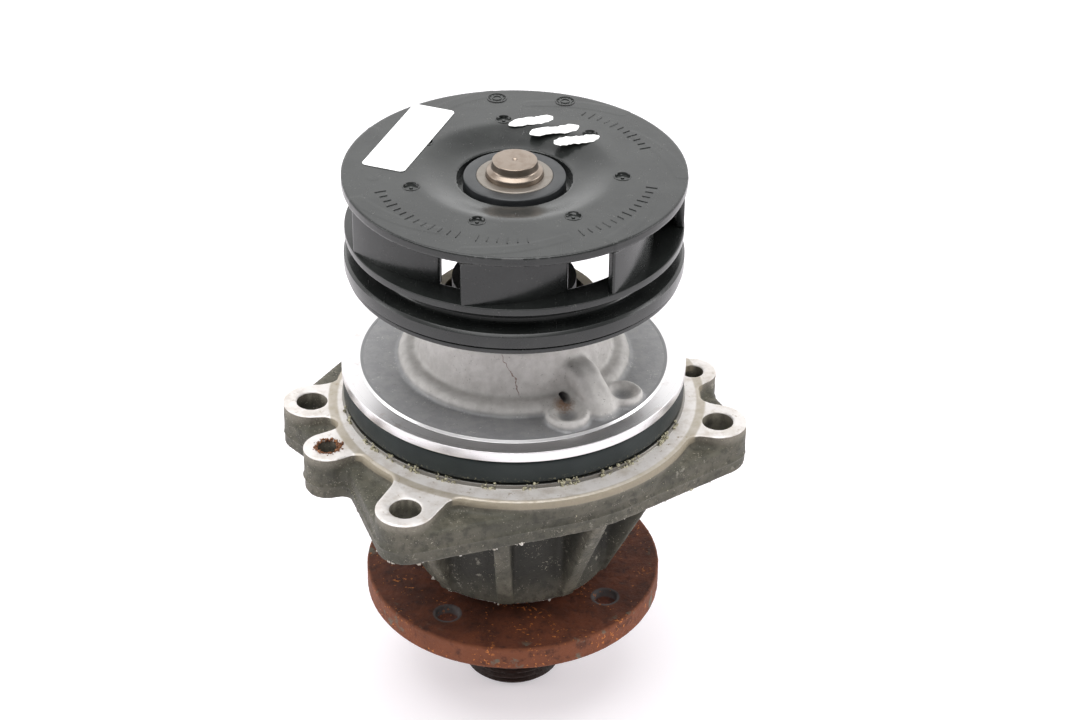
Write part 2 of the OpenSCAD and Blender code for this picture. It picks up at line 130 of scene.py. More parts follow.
# Pulley hub
NOSE_END = cad_mm("pulley_hub")[0][2]
FLANGE2_R = cad_mm("pulley_hub")[1][0]
FLANGE2_LOW, FLANGE2_TOP = NOSE_END + 25, NOSE_END + 31  # above the nose of 25 mm, 6 mm thick
BOSS_R, BOSS_TOP = 14.5, cad_mm("pulley_hub")[1][2]
TAPPED, TAPPED_CIRCLE_R, TAPPED_R, TAPPED_START = 4, 27.0, 2.65, -124.3
NOSE_THREAD_R, PITCH, THREAD_DEPTH = 11.85, 1.5, 0.85


# ---------------------------------------------------------------- distance fields
def cos(degrees):
    return math.cos(math.radians(degrees))


def sin(degrees):
    return math.sin(math.radians(degrees))


def turned(x, y, angle):
    """Coordinates along and across the direction at that angle from +X."""
    return x * cos(angle) + y * sin(angle), y * cos(angle) - x * sin(angle)


def both(a, b, r):
    """The part inside both shapes, with the edge between them rounded by r."""
    return np.minimum(-r, np.maximum(a, b)) + np.hypot(np.maximum(r + a, 0), np.maximum(r + b, 0))


def either(a, b, r):
    """Both shapes joined, with a fillet of radius r."""
    return np.maximum(r, np.minimum(a, b)) - np.hypot(np.maximum(r - a, 0), np.maximum(r - b, 0))


def from_place(x, y, place):
    """Distance in plan from a place given as its angle from +X and its distance from the axis."""
    return np.hypot(x - place[1] * cos(place[0]), y - place[1] * sin(place[0]))


def without(a, b, r):
    """The first shape with the second cut away, the edge rounded by r."""
    return both(a, -b, r)


def line(u, v, p, q):
    """Distance from the line through p and q, positive on its right as it runs from p to q."""
    along = math.hypot(q[0] - p[0], q[1] - p[1])
    return ((u - p[0]) * (q[1] - p[1]) - (v - p[1]) * (q[0] - p[0])) / along


def web(x, y, place, small, big):
    """Outline of an ear: a circle with straight sides tangent to a disc at the axis."""
    angle, distance = math.radians(place[0]), place[1]
    u = x * math.cos(angle) + y * math.sin(angle)
    v = np.abs(y * math.cos(angle) - x * math.sin(angle))
    turn = math.acos((big - small) / distance)
    side = u * math.cos(turn) + v * math.sin(turn) - big
    circle = np.hypot(u - distance, v) - small
    past = (u - distance) * math.sin(turn) > v * math.cos(turn)
    before = u * math.sin(turn) < v * math.cos(turn)
    return np.where(past, circle, np.where(before, np.hypot(u, v) - big, side))


def ribs(x, y, z):
    """Ribs from the flange down the bearing nose."""
    turn = np.arctan2(y, x) - math.radians(RIB_START)
    step = 2 * math.pi / RIBS
    folded = turn - step * np.round(turn / step)
    r = np.hypot(x, y)
    out, across = r * np.cos(folded), np.abs(r * np.sin(folded))
    edge = line(out, z, (RIB_FOOT_R, NOSE_LOW + 0.8), (RIB_ROOT_R, FLANGE_LOW + 0.5))
    edge = np.maximum(edge, pocket_wall(out, z) - 2.4)
    ends = np.maximum(z - POCKET_TOP - 1, NOSE_LOW + 0.8 - z)
    return both(across - RIB_T / 2, np.maximum(edge, ends), 0.7)


def pocket_wall(r, z):
    """Slanted wall of the pocket behind the flange."""
    slope = (POCKET_R - POCKET_TOP_R) / (POCKET_TOP - FLANGE_LOW)
    return (r - POCKET_TOP_R - (POCKET_TOP - z) * slope) / math.hypot(1, slope)


def flange_field(x, y, z):
    """Flange with its ears and pads, the pocket behind it, the bearing nose and the ribs."""
    r = np.hypot(x, y)
    plate = r - FLANGE_R
    rim = np.hypot(x - PAD_SHIFT[0], y - PAD_SHIFT[1]) - PAD_R
    pads = rim
    for place in EARS:
        plate = np.minimum(plate, web(x, y, place, EAR_R, FLANGE_R))
        pads = either(pads, web(x, y, place, EAR_R, PAD_WEB_R), 2.5)
    for place in JACKS:
        plate = either(plate, web(x, y, place, JACK_R, JACK_R * 2), 2.5)
        pads = either(pads, web(x, y, place, JACK_R, JACK_R), 2.0)
    ledge_fillet = np.clip(pads - plate, 0.01, 1.2)
    plate = plate - PARTING_H * np.exp(-((z - PARTING_Z) / 0.45) ** 2)
    plate = both(both(plate, z - PAD_LOW, 0.9), FLANGE_LOW - z, 0.9)
    edge = 0.3 + 1.0 * np.clip((pads - rim + 1.5) / 1.5, 0, 1)
    pads = both(both(pads, z, edge), PAD_LOW - 2 - z, 0.3)
    flange = either(plate, pads, ledge_fillet)
    core = np.maximum(r - RIM_CORE_R - 0.2, np.maximum(z - SPIGOT_TOP + 1, PAD_LOW - z))
    flange = np.minimum(flange, core)
    flange = without(flange, both(pocket_wall(r, z), z - POCKET_TOP, 2.0), 0.8)
    slope = (CORE_R - NOSE_R) / (FLANGE_LOW - NOSE_LOW)
    nose = both((r - NOSE_R - (z - NOSE_LOW) * slope) / math.hypot(1, slope), NOSE_LOW - z, 0.8)
    body = either(flange, np.maximum(nose, z - POCKET_TOP - 2), 2.2)
    return either(body, ribs(x, y, z), 1.3)


def neck_field(x, y, z):
    """Web, neck, weep ridge and cored cups above the flange."""
    r = np.hypot(x, y)
    step = np.maximum(r - WEB_R - 0.2, z - WEB_TOP)
    top = np.minimum(step, np.maximum(r - RIM_CORE_R - 0.2, z - SPIGOT_TOP + 1))
    top = either(top, both(r - BULGE_R, z - WEB_TOP - BULGE_TUBE, BULGE_TUBE), 1.0)
    slope = (NECK_FOOT_R - NECK_R) / (NECK_TOP - NECK_FOOT_Z)
    side = (r - NECK_FOOT_R + (z - NECK_FOOT_Z) * slope) / math.hypot(1, slope)
    top = either(top, both(side, z - NECK_TOP, 0.9), 0.8)
    u, v = turned(x, y, WEEP_ANGLE)
    for bx, by, br in CUPS:
        top = either(top, both(np.hypot(x - bx, y - by) - br, z - WEB_TOP - CUP_H, 1.8), 1.0)
    for bx, by, br in CUPS:
        ball = np.sqrt((x - bx) ** 2 + (y - by) ** 2 + (z - WEB_TOP - CUP_H - CUP_BALL_R + 2.2) ** 2)
        top = without(top, ball - CUP_BALL_R, 1.0)
    crest = both(-line(u, z, WEEP_CREST, WEEP_END), z - WEEP_CREST[1], 2.0)
    ridge = both(np.hypot(np.maximum(u - WEEP_END[0] + WEEP_R, 0), v) - WEEP_R, crest, 2.4)
    top = either(top, np.maximum(ridge, 12 - u), 1.2)
    return np.maximum(top, POCKET_TOP + 0.5 - z)


def bores_field(x, y, z):
    """Everything that is drilled or bored out of the casting."""
    r = np.hypot(x, y)
    bores = np.maximum(r - BEARING_R, z - BEARING_TOP)
    bores = np.minimum(bores, np.maximum(r - CAVITY_R, z - CAVITY_TOP - 0.1))
    bores = np.minimum(bores, np.maximum(r - CUP_R, CAVITY_TOP - z))
    for place in EARS:
        hole = from_place(x, y, place)
        bores = np.minimum(bores, hole - STUD_R)
        bores = np.minimum(bores, np.maximum(hole - SEAT_R, z - FLANGE_LOW - 0.4))
    for place in JACKS:
        bores = np.minimum(bores, from_place(x, y, place) - JACK_HOLE_R)
    return bores


def weep_hole(x, y, z):
    """The slanted hole that lets leaked coolant out beside the ridge."""
    u, v = turned(x, y, WEEP_ANGLE - 12)
    u, w = u - CAVITY_R + 1, z - 8.4
    along = u * sin(68) + w * cos(68)
    return np.maximum(np.hypot(u * cos(68) - w * sin(68), v) - WEEP_HOLE_R, -along)


def housing_field(x, y, z):
    """Signed distance to the whole casting, in millimetres."""
    body = np.minimum(flange_field(x, y, z), neck_field(x, y, z))
    body = without(body, bores_field(x, y, z), 0.3)
    return without(body, weep_hole(x, y, z), 0.3)


# ---------------------------------------------------------------- meshing a field
MEAN_HOLD = 0.08  # how strongly a vertex is held to the mean of its crossings


def edges_of(value, axis):
    """Grid edges along one axis that cross the surface: each one's lower corner, the share of its length
    before the crossing, and whether it starts inside."""
    low = np.take(value, range(value.shape[axis] - 1), axis)
    high = np.take(value, range(1, value.shape[axis]), axis)
    at = np.argwhere((low < 0) != (high < 0))
    a, b = low[tuple(at.T)], high[tuple(at.T)]
    return at, a / (a - b), a < 0


def contour(field, low, high, step):
    """Vertices and quads of the field's zero surface, by dual contouring, so that edges stay crisp."""
    axes = [np.arange(a, b + step, step, dtype=np.float32) for a, b in zip(low, high)]
    x, y, z = np.meshgrid(*axes, indexing="ij", sparse=True)
    value = field(x, y, z).astype(np.float32)
    shape = value.shape
    origin = np.array([a[0] for a in axes], float)
    cells, points, quads = [], [], []
    for axis in range(3):
        at, share, starts_inside = edges_of(value, axis)
        b, c = (axis + 1) % 3, (axis + 2) % 3
        keep = (at[:, b] > 0) & (at[:, c] > 0)
        at, share, starts_inside = at[keep], share[keep], starts_inside[keep]
        p = at.astype(float)
        p[:, axis] += share
        points.append(origin + p * step)
        corners = []
        for db, dc in ((0, 0), (1, 0), (1, 1), (0, 1)):
            cell = at.copy()
            cell[:, b] -= db
            cell[:, c] -= dc
            corners.append(np.ravel_multi_index(cell.T, shape))
        quad = np.stack(corners, 1)
        quad[~starts_inside] = quad[~starts_inside][:, ::-1]
        quads.append(quad)
    del value
    points, quads = np.vstack(points), np.vstack(quads)
    used, index = np.unique(quads.ravel(), return_inverse=True)
    normals = gradient(field, points, step * 0.05)
    normals /= np.linalg.norm(normals, axis=1, keepdims=True) + 1e-12
    vertices = settle(points, normals, index.reshape(quads.shape), len(used))
    centre = origin + (np.stack(np.unravel_index(used, shape), 1) + 0.5) * step
    vertices = np.clip(vertices, centre - step * 0.55, centre + step * 0.55)
    return vertices, index.reshape(quads.shape)


def gradient(field, p, h):
    """Slope of the field at points."""
    slope = np.empty_like(p)
    for axis in range(3):
        d = np.zeros(3)
        d[axis] = h
        slope[:, axis] = field(*(p + d).T) - field(*(p - d).T)
    return slope


def settle(points, normals, cells, count):
    """Each cell's vertex: the point nearest its crossings' tangent planes, held a little to their mean."""
    def total(weight):
        return sum(np.bincount(cells[:, k], weight, count) for k in range(4))
    share = total(np.ones(len(points)))
    mean = np.stack([total(points[:, i]) / share for i in range(3)], 1)
    reach = np.einsum("ij,ij->i", normals, points)
    matrix, side = np.empty((count, 3, 3)), np.empty((count, 3))
    for i in range(3):
        for j in range(i, 3):
            matrix[:, i, j] = matrix[:, j, i] = total(normals[:, i] * normals[:, j])
        side[:, i] = total(normals[:, i] * reach)
    side += MEAN_HOLD * mean
    matrix += MEAN_HOLD * np.eye(3)
    return np.linalg.solve(matrix, side[:, :, None])[:, :, 0]


# ---------------------------------------------------------------- impeller and pulley hub fields
def dish_top(r):
    """Height of the disc's upper face, which dips softly to the hub."""
    t = np.clip((DISH_R + 1.5 - r) / (DISH_R + 1.5 - GAP_R), 0, 1)
    return DISC_TOP - DISH_DEPTH * t * t * (3 - 2 * t)


def vane_field(r, turn):
    """Outline of the vanes seen along the axis: slices of a logarithmic spiral."""
    step = 360 / VANES
    found = None
    phase = np.mod(np.degrees(turn) - VANE_START + 3, step) - 3
    for a in (phase, phase - step, phase + step):
        along = np.clip(a, 0, VANE_WRAP)
        outer = (DISC_R - 0.35) * np.exp(-VANE_RATE * np.radians(along))
        thick = VANE_T * (1 - 0.3 * along / VANE_WRAP)
        lean = math.cos(math.atan(VANE_RATE))
        sides = (np.abs(r - outer + thick / 2) - thick / 2) * lean
        ends = np.maximum(-a, a - VANE_WRAP) * np.radians(1) * r * lean
        vane = np.maximum(both(sides, ends, 0.6), sides)
        found = vane if found is None else np.minimum(found, vane)
    return found


def impeller_field(x, y, z):
    """Signed distance to the disc with its hub and vanes, in millimetres."""
    r = np.hypot(x, y)
    disc = both(both(r - DISC_R, z - DISC_TOP, 0.3), DISC_TOP - DISC_T - z, 0.3)
    hub = both(both(r - HUB_R, z - DISC_TOP, 0.1), HUB_LOW - z, 0.5)
    vanes = both(vane_field(r, np.arctan2(y, x)), SHROUD_TOP - z, 0.05)
    body = either(either(disc, hub, 4.0), np.maximum(vanes, z - DISC_TOP + 0.4), 0.9)
    body = both(body, z - dish_top(r), 0.2)
    for i in range(VANES):
        dimple = from_place(x, y, (DIMPLE_START + i * 360 / VANES, DIMPLE_CIRCLE_R))
        body = without(body, np.maximum(dimple - DIMPLE_R, DISC_TOP - 0.55 - z), 0.15)
    gap = np.maximum(r - GAP_R, GAP_LOW - z)
    return without(body, np.minimum(gap, r - SLEEVE_R), 0.35)


def hub_field(x, y, z):
    """Signed distance to the pulley flange, its boss and the threaded nose, in millimetres."""
    r = np.hypot(x, y)
    flange = both(both(r - FLANGE2_R, z - FLANGE2_TOP, 0.6), FLANGE2_LOW - z, 0.6)
    boss = both(both(r - BOSS_R, z - BOSS_TOP, 0.6), FLANGE2_LOW - z, 0.6)
    body = either(flange, boss, 1.0)
    turn = np.mod(z / PITCH - np.arctan2(y, x) / (2 * math.pi), 1)
    tooth = np.clip(np.abs(turn - 0.5) * 2.6 - 0.25, 0, 1) * THREAD_DEPTH
    fade = np.clip((z - FLANGE2_LOW + 3.4) / 1.2, 0, 1)
    nose = (r - NOSE_THREAD_R + tooth * (1 - fade) + fade * 0.5) * 0.85
    nose = np.maximum(both(nose, NOSE_END - z, 0.3), z - FLANGE2_TOP)
    start = (r - NOSE_THREAD_R + 1.2 - (z - NOSE_END)) / math.sqrt(2)
    body = either(body, np.maximum(nose, start), 0.4)
    for i in range(TAPPED):
        place = (TAPPED_START + i * 360 / TAPPED, TAPPED_CIRCLE_R)
        body = without(body, from_place(x, y, place) - TAPPED_R, 0.5)
    return without(body, r - SHAFT_R, 0.3)


# ---------------------------------------------------------------- pieces
def add_object(name, data):
    made = bpy.data.objects.new(name, data)
    bpy.context.scene.collection.objects.link(made)
    return made


def smooth(mesh, sharp):
    """Smooth shading, except across edges steeper than that many degrees."""
    mesh.polygons.foreach_set("use_smooth", [True] * len(mesh.polygons))
    mesh.set_sharp_from_angle(angle=math.radians(sharp))


def dress(made, material):
    made.data.materials.append(material)
    return made


def piece(name, body, slot, vertices, faces, *nodes, sharp=40):
    """A mesh object that rides on a body and stands for CAD nodes. Its vertices are given in millimetres."""
    mesh = bpy.data.meshes.new(name)
    mesh.from_pydata((np.asarray(vertices, float) * MM).tolist(), [], [list(map(int, f)) for f in faces])
    mesh.validate()
    smooth(mesh, sharp)
    made = add_object(name, mesh)
    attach(made, body)
    if nodes:
        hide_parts(*nodes)
    return made


def field_piece(name, body, slot, field, step, node, rough=None, keep=1.0, sharp=40):
    """A piece meshed from a distance field over a CAD node's box, kept inside it and thinned."""
    low, high = cad_mm(node)
    step *= 1
    vertices, quads = contour(field, [c - FIELD_MARGIN for c in low], [c + FIELD_MARGIN for c in high], step)
    if rough is not None:
        normals = gradient(field, vertices, 0.1)
        normals /= np.linalg.norm(normals, axis=1, keepdims=True) + 1e-12
        vertices = vertices + normals * rough(vertices)[:, None]
    vertices = np.clip(vertices, low, high)
    made = piece(name, body, slot, vertices, quads, node, sharp=sharp)
    if keep < 1:
        thin = made.modifiers.new("thin", "DECIMATE")
        thin.ratio = keep
        bpy.context.view_layer.update()
        mesh = bpy.data.meshes.new_from_object(made.evaluated_get(bpy.context.evaluated_depsgraph_get()))
        made.modifiers.remove(thin)
        made.data = mesh
        mesh.name = name
        smooth(mesh, sharp)
    return made


def rounded(corners, radius, steps=4):
    """A closed outline with its corners turned into arcs. radius is one value, or one for each corner."""
    radii = radius if isinstance(radius, (list, tuple)) else [radius] * len(corners)
    out = []
    for i, corner in enumerate(corners):
        p, q, s = (np.array(c, float) for c in (corners[i - 1], corner, corners[(i + 1) % len(corners)]))
        a, b = p - q, s - q
        la, lb = np.linalg.norm(a), np.linalg.norm(b)
        half = math.acos(max(-1.0, min(1.0, float(a @ b / (la * lb))))) / 2
        cut = min(radii[i] / math.tan(half), 0.45 * la, 0.45 * lb) if radii[i] and half < 1.5 else 0
        if cut <= 0:
            out.append(tuple(q))
            continue
        start, end = q + a / la * cut, q + b / lb * cut
        for k in range(steps + 1):
            t = k / steps
            out.append(tuple((1 - t) ** 2 * start + 2 * t * (1 - t) * q + t * t * end))
    return out


def tube(inner, outer, low, high):
    """Outline of a plain ring."""
    return [(inner, low), (outer, low), (outer, high), (inner, high)]


def lathe(name, body, slot, outline, *nodes, segments=192, wobble=None, sharp=40):
    """A turned piece: a closed outline of radius and height, in millimetres, spun about the axis."""
    rings = np.array(outline, float)
    turn = np.linspace(0, 2 * math.pi, segments, endpoint=False)
    vertices = np.stack([rings[:, None, 0] * np.cos(turn), rings[:, None, 0] * np.sin(turn),
                         np.broadcast_to(rings[:, None, 1], (len(rings), segments))], 2).reshape(-1, 3)
    if wobble is not None:
        vertices = wobble(vertices)
    faces = []
    for i in range(len(rings)):
        j = (i + 1) % len(rings)
        if rings[i, 0] < 1e-6 and rings[j, 0] < 1e-6:
            continue
        for k in range(segments):
            n = (k + 1) % segments
            faces.append((i * segments + k, i * segments + n, j * segments + n, j * segments + k))
    made = piece(name, body, slot, vertices, faces, *nodes, sharp=sharp)
    mesh = bmesh.new()
    mesh.from_mesh(made.data)
    bmesh.ops.remove_doubles(mesh, verts=mesh.verts, dist=1e-7)
    bmesh.ops.recalc_face_normals(mesh, faces=mesh.faces)
    mesh.to_mesh(made.data)
    mesh.free()
    return made


def waves(p, scale, seed):
    """Smooth pseudo-random heights from -1 to 1 at points, with features about scale millimetres wide."""
    draw = np.random.default_rng(seed)
    total = np.zeros(len(p))
    for _ in range(14):
        way = draw.normal(size=3)
        way /= np.linalg.norm(way)
        total += np.sin(p @ way * (2 * math.pi / scale) * draw.uniform(0.6, 1.6) + draw.uniform(0, 6.28))
    return np.clip(total / 4.5, -1, 1)


# ---------------------------------------------------------------- material graphs
def add_node(tree, kind, inputs=None, **settings):
    """A node with its settings, and each input linked to a socket or set to a value."""
    made = tree.nodes.new(kind)
    for key, value in settings.items():
        setattr(made, key, value)
    for key, value in (inputs or {}).items():
        if isinstance(key, str):
            key = key.replace("_", " ")
        if isinstance(value, bpy.types.NodeSocket):
            tree.links.new(value, made.inputs[key])
        else:
            made.inputs[key].default_value = value
    return made


class Graph:
    """One material's nodes. Each method adds a node and returns its output; lengths are in millimetres."""

    def __init__(self, name, **shader):
        self.material = bpy.data.materials.new(name)
        self.material.use_nodes = True
        self.tree = self.material.node_tree
        self.tree.nodes.clear()
        self.shader = self.node("ShaderNodeBsdfPrincipled", shader)
        self.node("ShaderNodeOutputMaterial", {"Surface": self.shader.outputs[0]})
        place = self.node("ShaderNodeTexCoord").outputs["Object"]
        scaled = self.node("ShaderNodeVectorMath", {0: place, "Scale": 1 / MM}, operation="SCALE")
        self.place = scaled.outputs[0]
        split = self.node("ShaderNodeSeparateXYZ", {0: self.place}).outputs
        self.x, self.y, self.z = split[0], split[1], split[2]
        flat = self.plus(self.times(self.x, self.x), self.times(self.y, self.y))
        self.r = self.math("SQRT", flat)

    def node(self, kind, inputs=None, **settings):
        return add_node(self.tree, kind, inputs, **settings)

    def math(self, operation, a, b=0.0, clamp=False):
        return self.node("ShaderNodeMath", {0: a, 1: b}, operation=operation, use_clamp=clamp).outputs[0]

    def vector(self, operation, a, b=(0, 0, 0), out=0):
        return self.node("ShaderNodeVectorMath", {0: a, 1: b}, operation=operation).outputs[out]

    def times(self, a, b):
        return self.math("MULTIPLY", a, b)

    def plus(self, a, b):
        return self.math("ADD", a, b)

    def minus(self, a, b):
        return self.math("SUBTRACT", a, b)

    def most(self, a, b):
        return self.math("MAXIMUM", a, b)

    def lines(self, density):
        """Fine lines round the axis, from 0 to 1."""
        along = self.times(self.plus(self.r, self.z), density)
        return self.node("ShaderNodeTexNoise", {"W": along, "Scale": 1.0, "Detail": 3.0},
                         noise_dimensions="1D").outputs[0]

    def rise(self, value, low, high):
        """0 below low, 1 above high, smooth between; falls instead if high is under low."""
        return self.node("ShaderNodeMapRange", {0: value, 1: low, 2: high, 3: 0.0, 4: 1.0},
                         interpolation_type="SMOOTHSTEP").outputs[0]

    def spread(self, value, low, high):
        """A 0 to 1 value stretched over low to high."""
        return self.node("ShaderNodeMapRange", {0: value, 1: 0.0, 2: 1.0, 3: low, 4: high}).outputs[0]

    def noise(self, size, detail=3.0, rough=0.55, stretch=(1, 1, 1), seed=0.0):
        """Noise from 0 to 1 with features about size millimetres wide."""
        shift = (seed, seed * 0.7, -seed)
        at = self.node("ShaderNodeMapping", {0: self.place, 1: shift, 3: stretch}).outputs[0]
        inputs = {"Vector": at, "Scale": 1 / size, "Detail": detail, "Roughness": rough}
        return self.node("ShaderNodeTexNoise", inputs).outputs["Fac"]

    def specks(self, size, level, seed=0.0):
        """1 on irregular specks about size millimetres wide, rarer the higher the level (0.8 to 0.95)."""
        patches = self.times(self.noise(size * 8, 2, seed=seed + 5), 0.4)
        return self.rise(self.plus(self.noise(size, 3, 0.6, seed=seed), patches), level, level + 0.03)

    def cut(self, height, low, high, blend=0.2):
        """1 where height is between low and high."""
        return self.times(self.rise(height, low - blend, low + blend),
                         self.rise(height, high + blend, high - blend))

    def mix(self, factor, a, b):
        made = self.node("ShaderNodeMix", {0: factor}, data_type="RGBA")
        for socket, value in ((made.inputs[6], a), (made.inputs[7], b)):
            if isinstance(value, bpy.types.NodeSocket):
                self.tree.links.new(value, socket)
            else:
                socket.default_value = (*value, 1)
        return made.outputs[2]

    def coat(self, base, color, mask, share):
        """The base colour with that share of another where the mask is 1."""
        return self.mix(self.times(mask, share), base, color)

    def blots(self, low, high, *noise, **more):
        """1 where a noise is above high, 0 where it is below low."""
        return self.rise(self.noise(*noise, **more), low, high)

    def bump(self, height, depth):
        inputs = {"Height": height, "Distance": depth * MM, "Strength": 1.0}
        return self.node("ShaderNodeBump", inputs).outputs[0]

    def paint(self, color=None, roughness=None, metallic=None, normal=None):
        given = {"Base Color": color, "Roughness": roughness, "Metallic": metallic, "Normal": normal}
        for name, value in given.items():
            if value is not None:
                self.tree.links.new(value, self.shader.inputs[name])
        return self.material


def impeller_plastic():
    """Black glass-filled plastic: satin, with faint flow marks, scuffs and dust."""
    g = Graph("impeller_plastic")
    cloud, grain, flow = g.noise(9, 4), g.noise(0.35, 2), g.noise(3.0, 3, stretch=(1, 1, 0.2), seed=4)
    color = g.mix(g.rise(cloud, 0.35, 0.7), (0.012, 0.0135, 0.013), (0.020, 0.022, 0.021))
    scuffs = g.blots(0.63, 0.72, 1.1, 5, 0.7, (1, 0.12, 1), 9)
    color = g.coat(color, (0.10, 0.10, 0.10), scuffs, 0.2)
    color = g.coat(color, (0.22, 0.22, 0.20), g.specks(0.4, 0.90, 3), 0.3)
    roughness = g.plus(g.spread(flow, 0.17, 0.31), g.times(scuffs, 0.2))
    height = g.plus(g.times(grain, 0.5), g.times(flow, 1.6))
    return g.paint(color, roughness, normal=g.bump(height, 0.014))


def casting():
    """Cast aluminium: grey speckled web, darker than the paler neck partly as painted shade, pale land, and grimy
    olive sides, ribs and pocket.
    """
    g = Graph("cast_aluminium")
    fine, coarse, cloud = g.noise(0.5, 4, 0.65), g.noise(2.2, 4, 0.6, seed=2), g.noise(9, 3, seed=7)
    # as-cast metal above the mounting face
    cast = g.mix(g.rise(coarse, 0.3, 0.7), (0.54, 0.52, 0.50), (0.64, 0.62, 0.60))
    # painted shade: the web gets a darker grey than the neck, partly its own finish and partly the shade and dark
    # reflection of the impeller above it
    web = g.mix(g.rise(coarse, 0.3, 0.72), (0.255, 0.255, 0.262), (0.305, 0.303, 0.305))
    cast = g.mix(g.rise(g.z, WEB_TOP + 1.4, WEB_TOP + 0.2), cast, web)
    cast = g.coat(cast, (0.78, 0.76, 0.73), g.specks(0.5, 0.88, 1), 0.4)
    cast = g.coat(cast, (0.12, 0.11, 0.10), g.specks(0.5, 0.89, 8), 0.5)
    weep = g.vector("DISTANCE", g.place, WEEP_STAIN, "Value")
    stain = g.rise(g.plus(weep, g.times(g.minus(fine, 0.5), 3.0)), 3.4, 0.8)
    cast = g.coat(cast, (0.20, 0.09, 0.03), stain, 0.85)
    crack = g.plus(g.x, g.times(g.minus(g.noise(3.0, 3, seed=31), 0.5), 3.5))  # a wandering dark line
    crack = g.math("ABSOLUTE", g.plus(crack, g.times(g.minus(g.z, CRACK_Z), CRACK_LEAN)))
    crack = g.times(g.rise(crack, 0.17, 0.06), g.times(g.cut(g.z, 13.6, 23.0, 0.6), g.rise(g.y, -12, -14)))
    cast = g.coat(cast, (0.16, 0.07, 0.045), crack, g.spread(coarse, 0.5, 1.0))
    # grime on the flange's sides, the ribs and the nose; deep between the ribs it turns near black, partly dirt
    # and partly painted shade
    grime = g.mix(g.rise(cloud, 0.35, 0.7), (0.066, 0.063, 0.045), (0.118, 0.108, 0.080))
    grime = g.coat(grime, (0.036, 0.034, 0.024), g.rise(coarse, 0.46, 0.68), 0.75)
    grime = g.coat(grime, (0.030, 0.027, 0.018), g.blots(0.52, 0.66, 1.1, 5, 0.7, seed=27), 0.5)
    rib_line = g.plus(g.times(g.z, (RIB_ROOT_R - RIB_FOOT_R) / (FLANGE_LOW - NOSE_LOW)),
                      RIB_FOOT_R - NOSE_LOW * (RIB_ROOT_R - RIB_FOOT_R) / (FLANGE_LOW - NOSE_LOW))
    # dirt and painted shade: near black deep between the ribs, under the flange
    rib_gap_dirt_and_shade = g.times(g.rise(g.minus(rib_line, g.r), 0.8, 5.0), g.rise(g.z, -10.5, -11.5))
    grime = g.coat(grime, (0.012, 0.0115, 0.007), rib_gap_dirt_and_shade, 0.9)
    worn = g.times(g.rise(g.z, -3.2, -0.6), g.spread(fine, 0.0, 1.0))
    grime = g.mix(worn, grime, (0.30, 0.27, 0.22))
    leftward = g.times(g.rise(g.x, 0, -40), 0.05)
    grime = g.coat(grime, (0.42, 0.38, 0.30), g.specks(0.45, 0.87, 4), 0.6)
    flaky = g.rise(g.plus(g.noise(0.7, 5, 0.7, seed=41), leftward), 0.66, 0.70)
    grime = g.coat(grime, (0.40, 0.37, 0.30), flaky, 0.55)
    grime = g.coat(grime, (0.36, 0.34, 0.28), g.blots(0.62, 0.7, 3.5, 5, 0.7, seed=11), 0.5)
    pocket = g.times(g.rise(g.z, POCKET_TOP + 0.9, POCKET_TOP + 0.6),
                     g.rise(g.r, RIM_CORE_R - 0.9, RIM_CORE_R - 1.2))
    color = g.mix(g.most(g.rise(g.z, 0.25, -0.05), pocket), cast, grime)
    # scraped land, and the brown rounded edge outside it
    land = g.cut(g.z, -0.3, 0.5, 0.08)
    pale = g.mix(g.blots(0.4, 0.75, 4, 5, 0.65, seed=15), (0.74, 0.71, 0.69), (0.56, 0.51, 0.46))
    pale = g.mix(g.blots(0.6, 0.72, 1.3, 5, 0.7, seed=19), pale, (0.36, 0.29, 0.22))
    shifted = g.vector("ADD", g.place, (-PAD_SHIFT[0], -PAD_SHIFT[1], 0))
    rim_r = g.vector("LENGTH", g.vector("MULTIPLY", shifted, (1, 1, 0)), out="Value")
    bead = g.times(g.cut(rim_r, PAD_R - 1.3, PAD_R + 0.8, 0.3), g.cut(g.z, -1.8, 0.3))
    color = g.mix(land, color, pale)
    color = g.coat(color, (0.34, 0.29, 0.21), bead, g.spread(coarse, 0.4, 1.0))
    ends = g.plus(g.rise(g.z, NOSE_LOW + 0.4, NOSE_LOW + 0.25), g.rise(g.z, NECK_TOP - 0.15, NECK_TOP - 0.05))
    color = g.mix(ends, color, (0.6, 0.59, 0.57))
    bare = g.math("ADD", land, ends, clamp=True)
    flat_web = g.cut(g.z, WEB_TOP - 0.4, WEB_TOP + 0.5)
    roughness = g.minus(g.spread(fine, 0.5, 0.8), g.times(g.plus(bare, flat_web), 0.2))
    metallic = g.most(g.times(bare, 0.45), g.times(g.rise(g.z, 0.2, 0.4), 0.35))
    dirty = g.most(g.rise(g.z, 0.3, -0.2), pocket)
    height = g.times(g.plus(fine, coarse), g.times(g.spread(dirty, 0.35, 1.0),
                                                                    g.minus(1.0, g.times(bare, 0.8))))
    return g.paint(color, roughness, metallic, g.bump(height, 0.11))


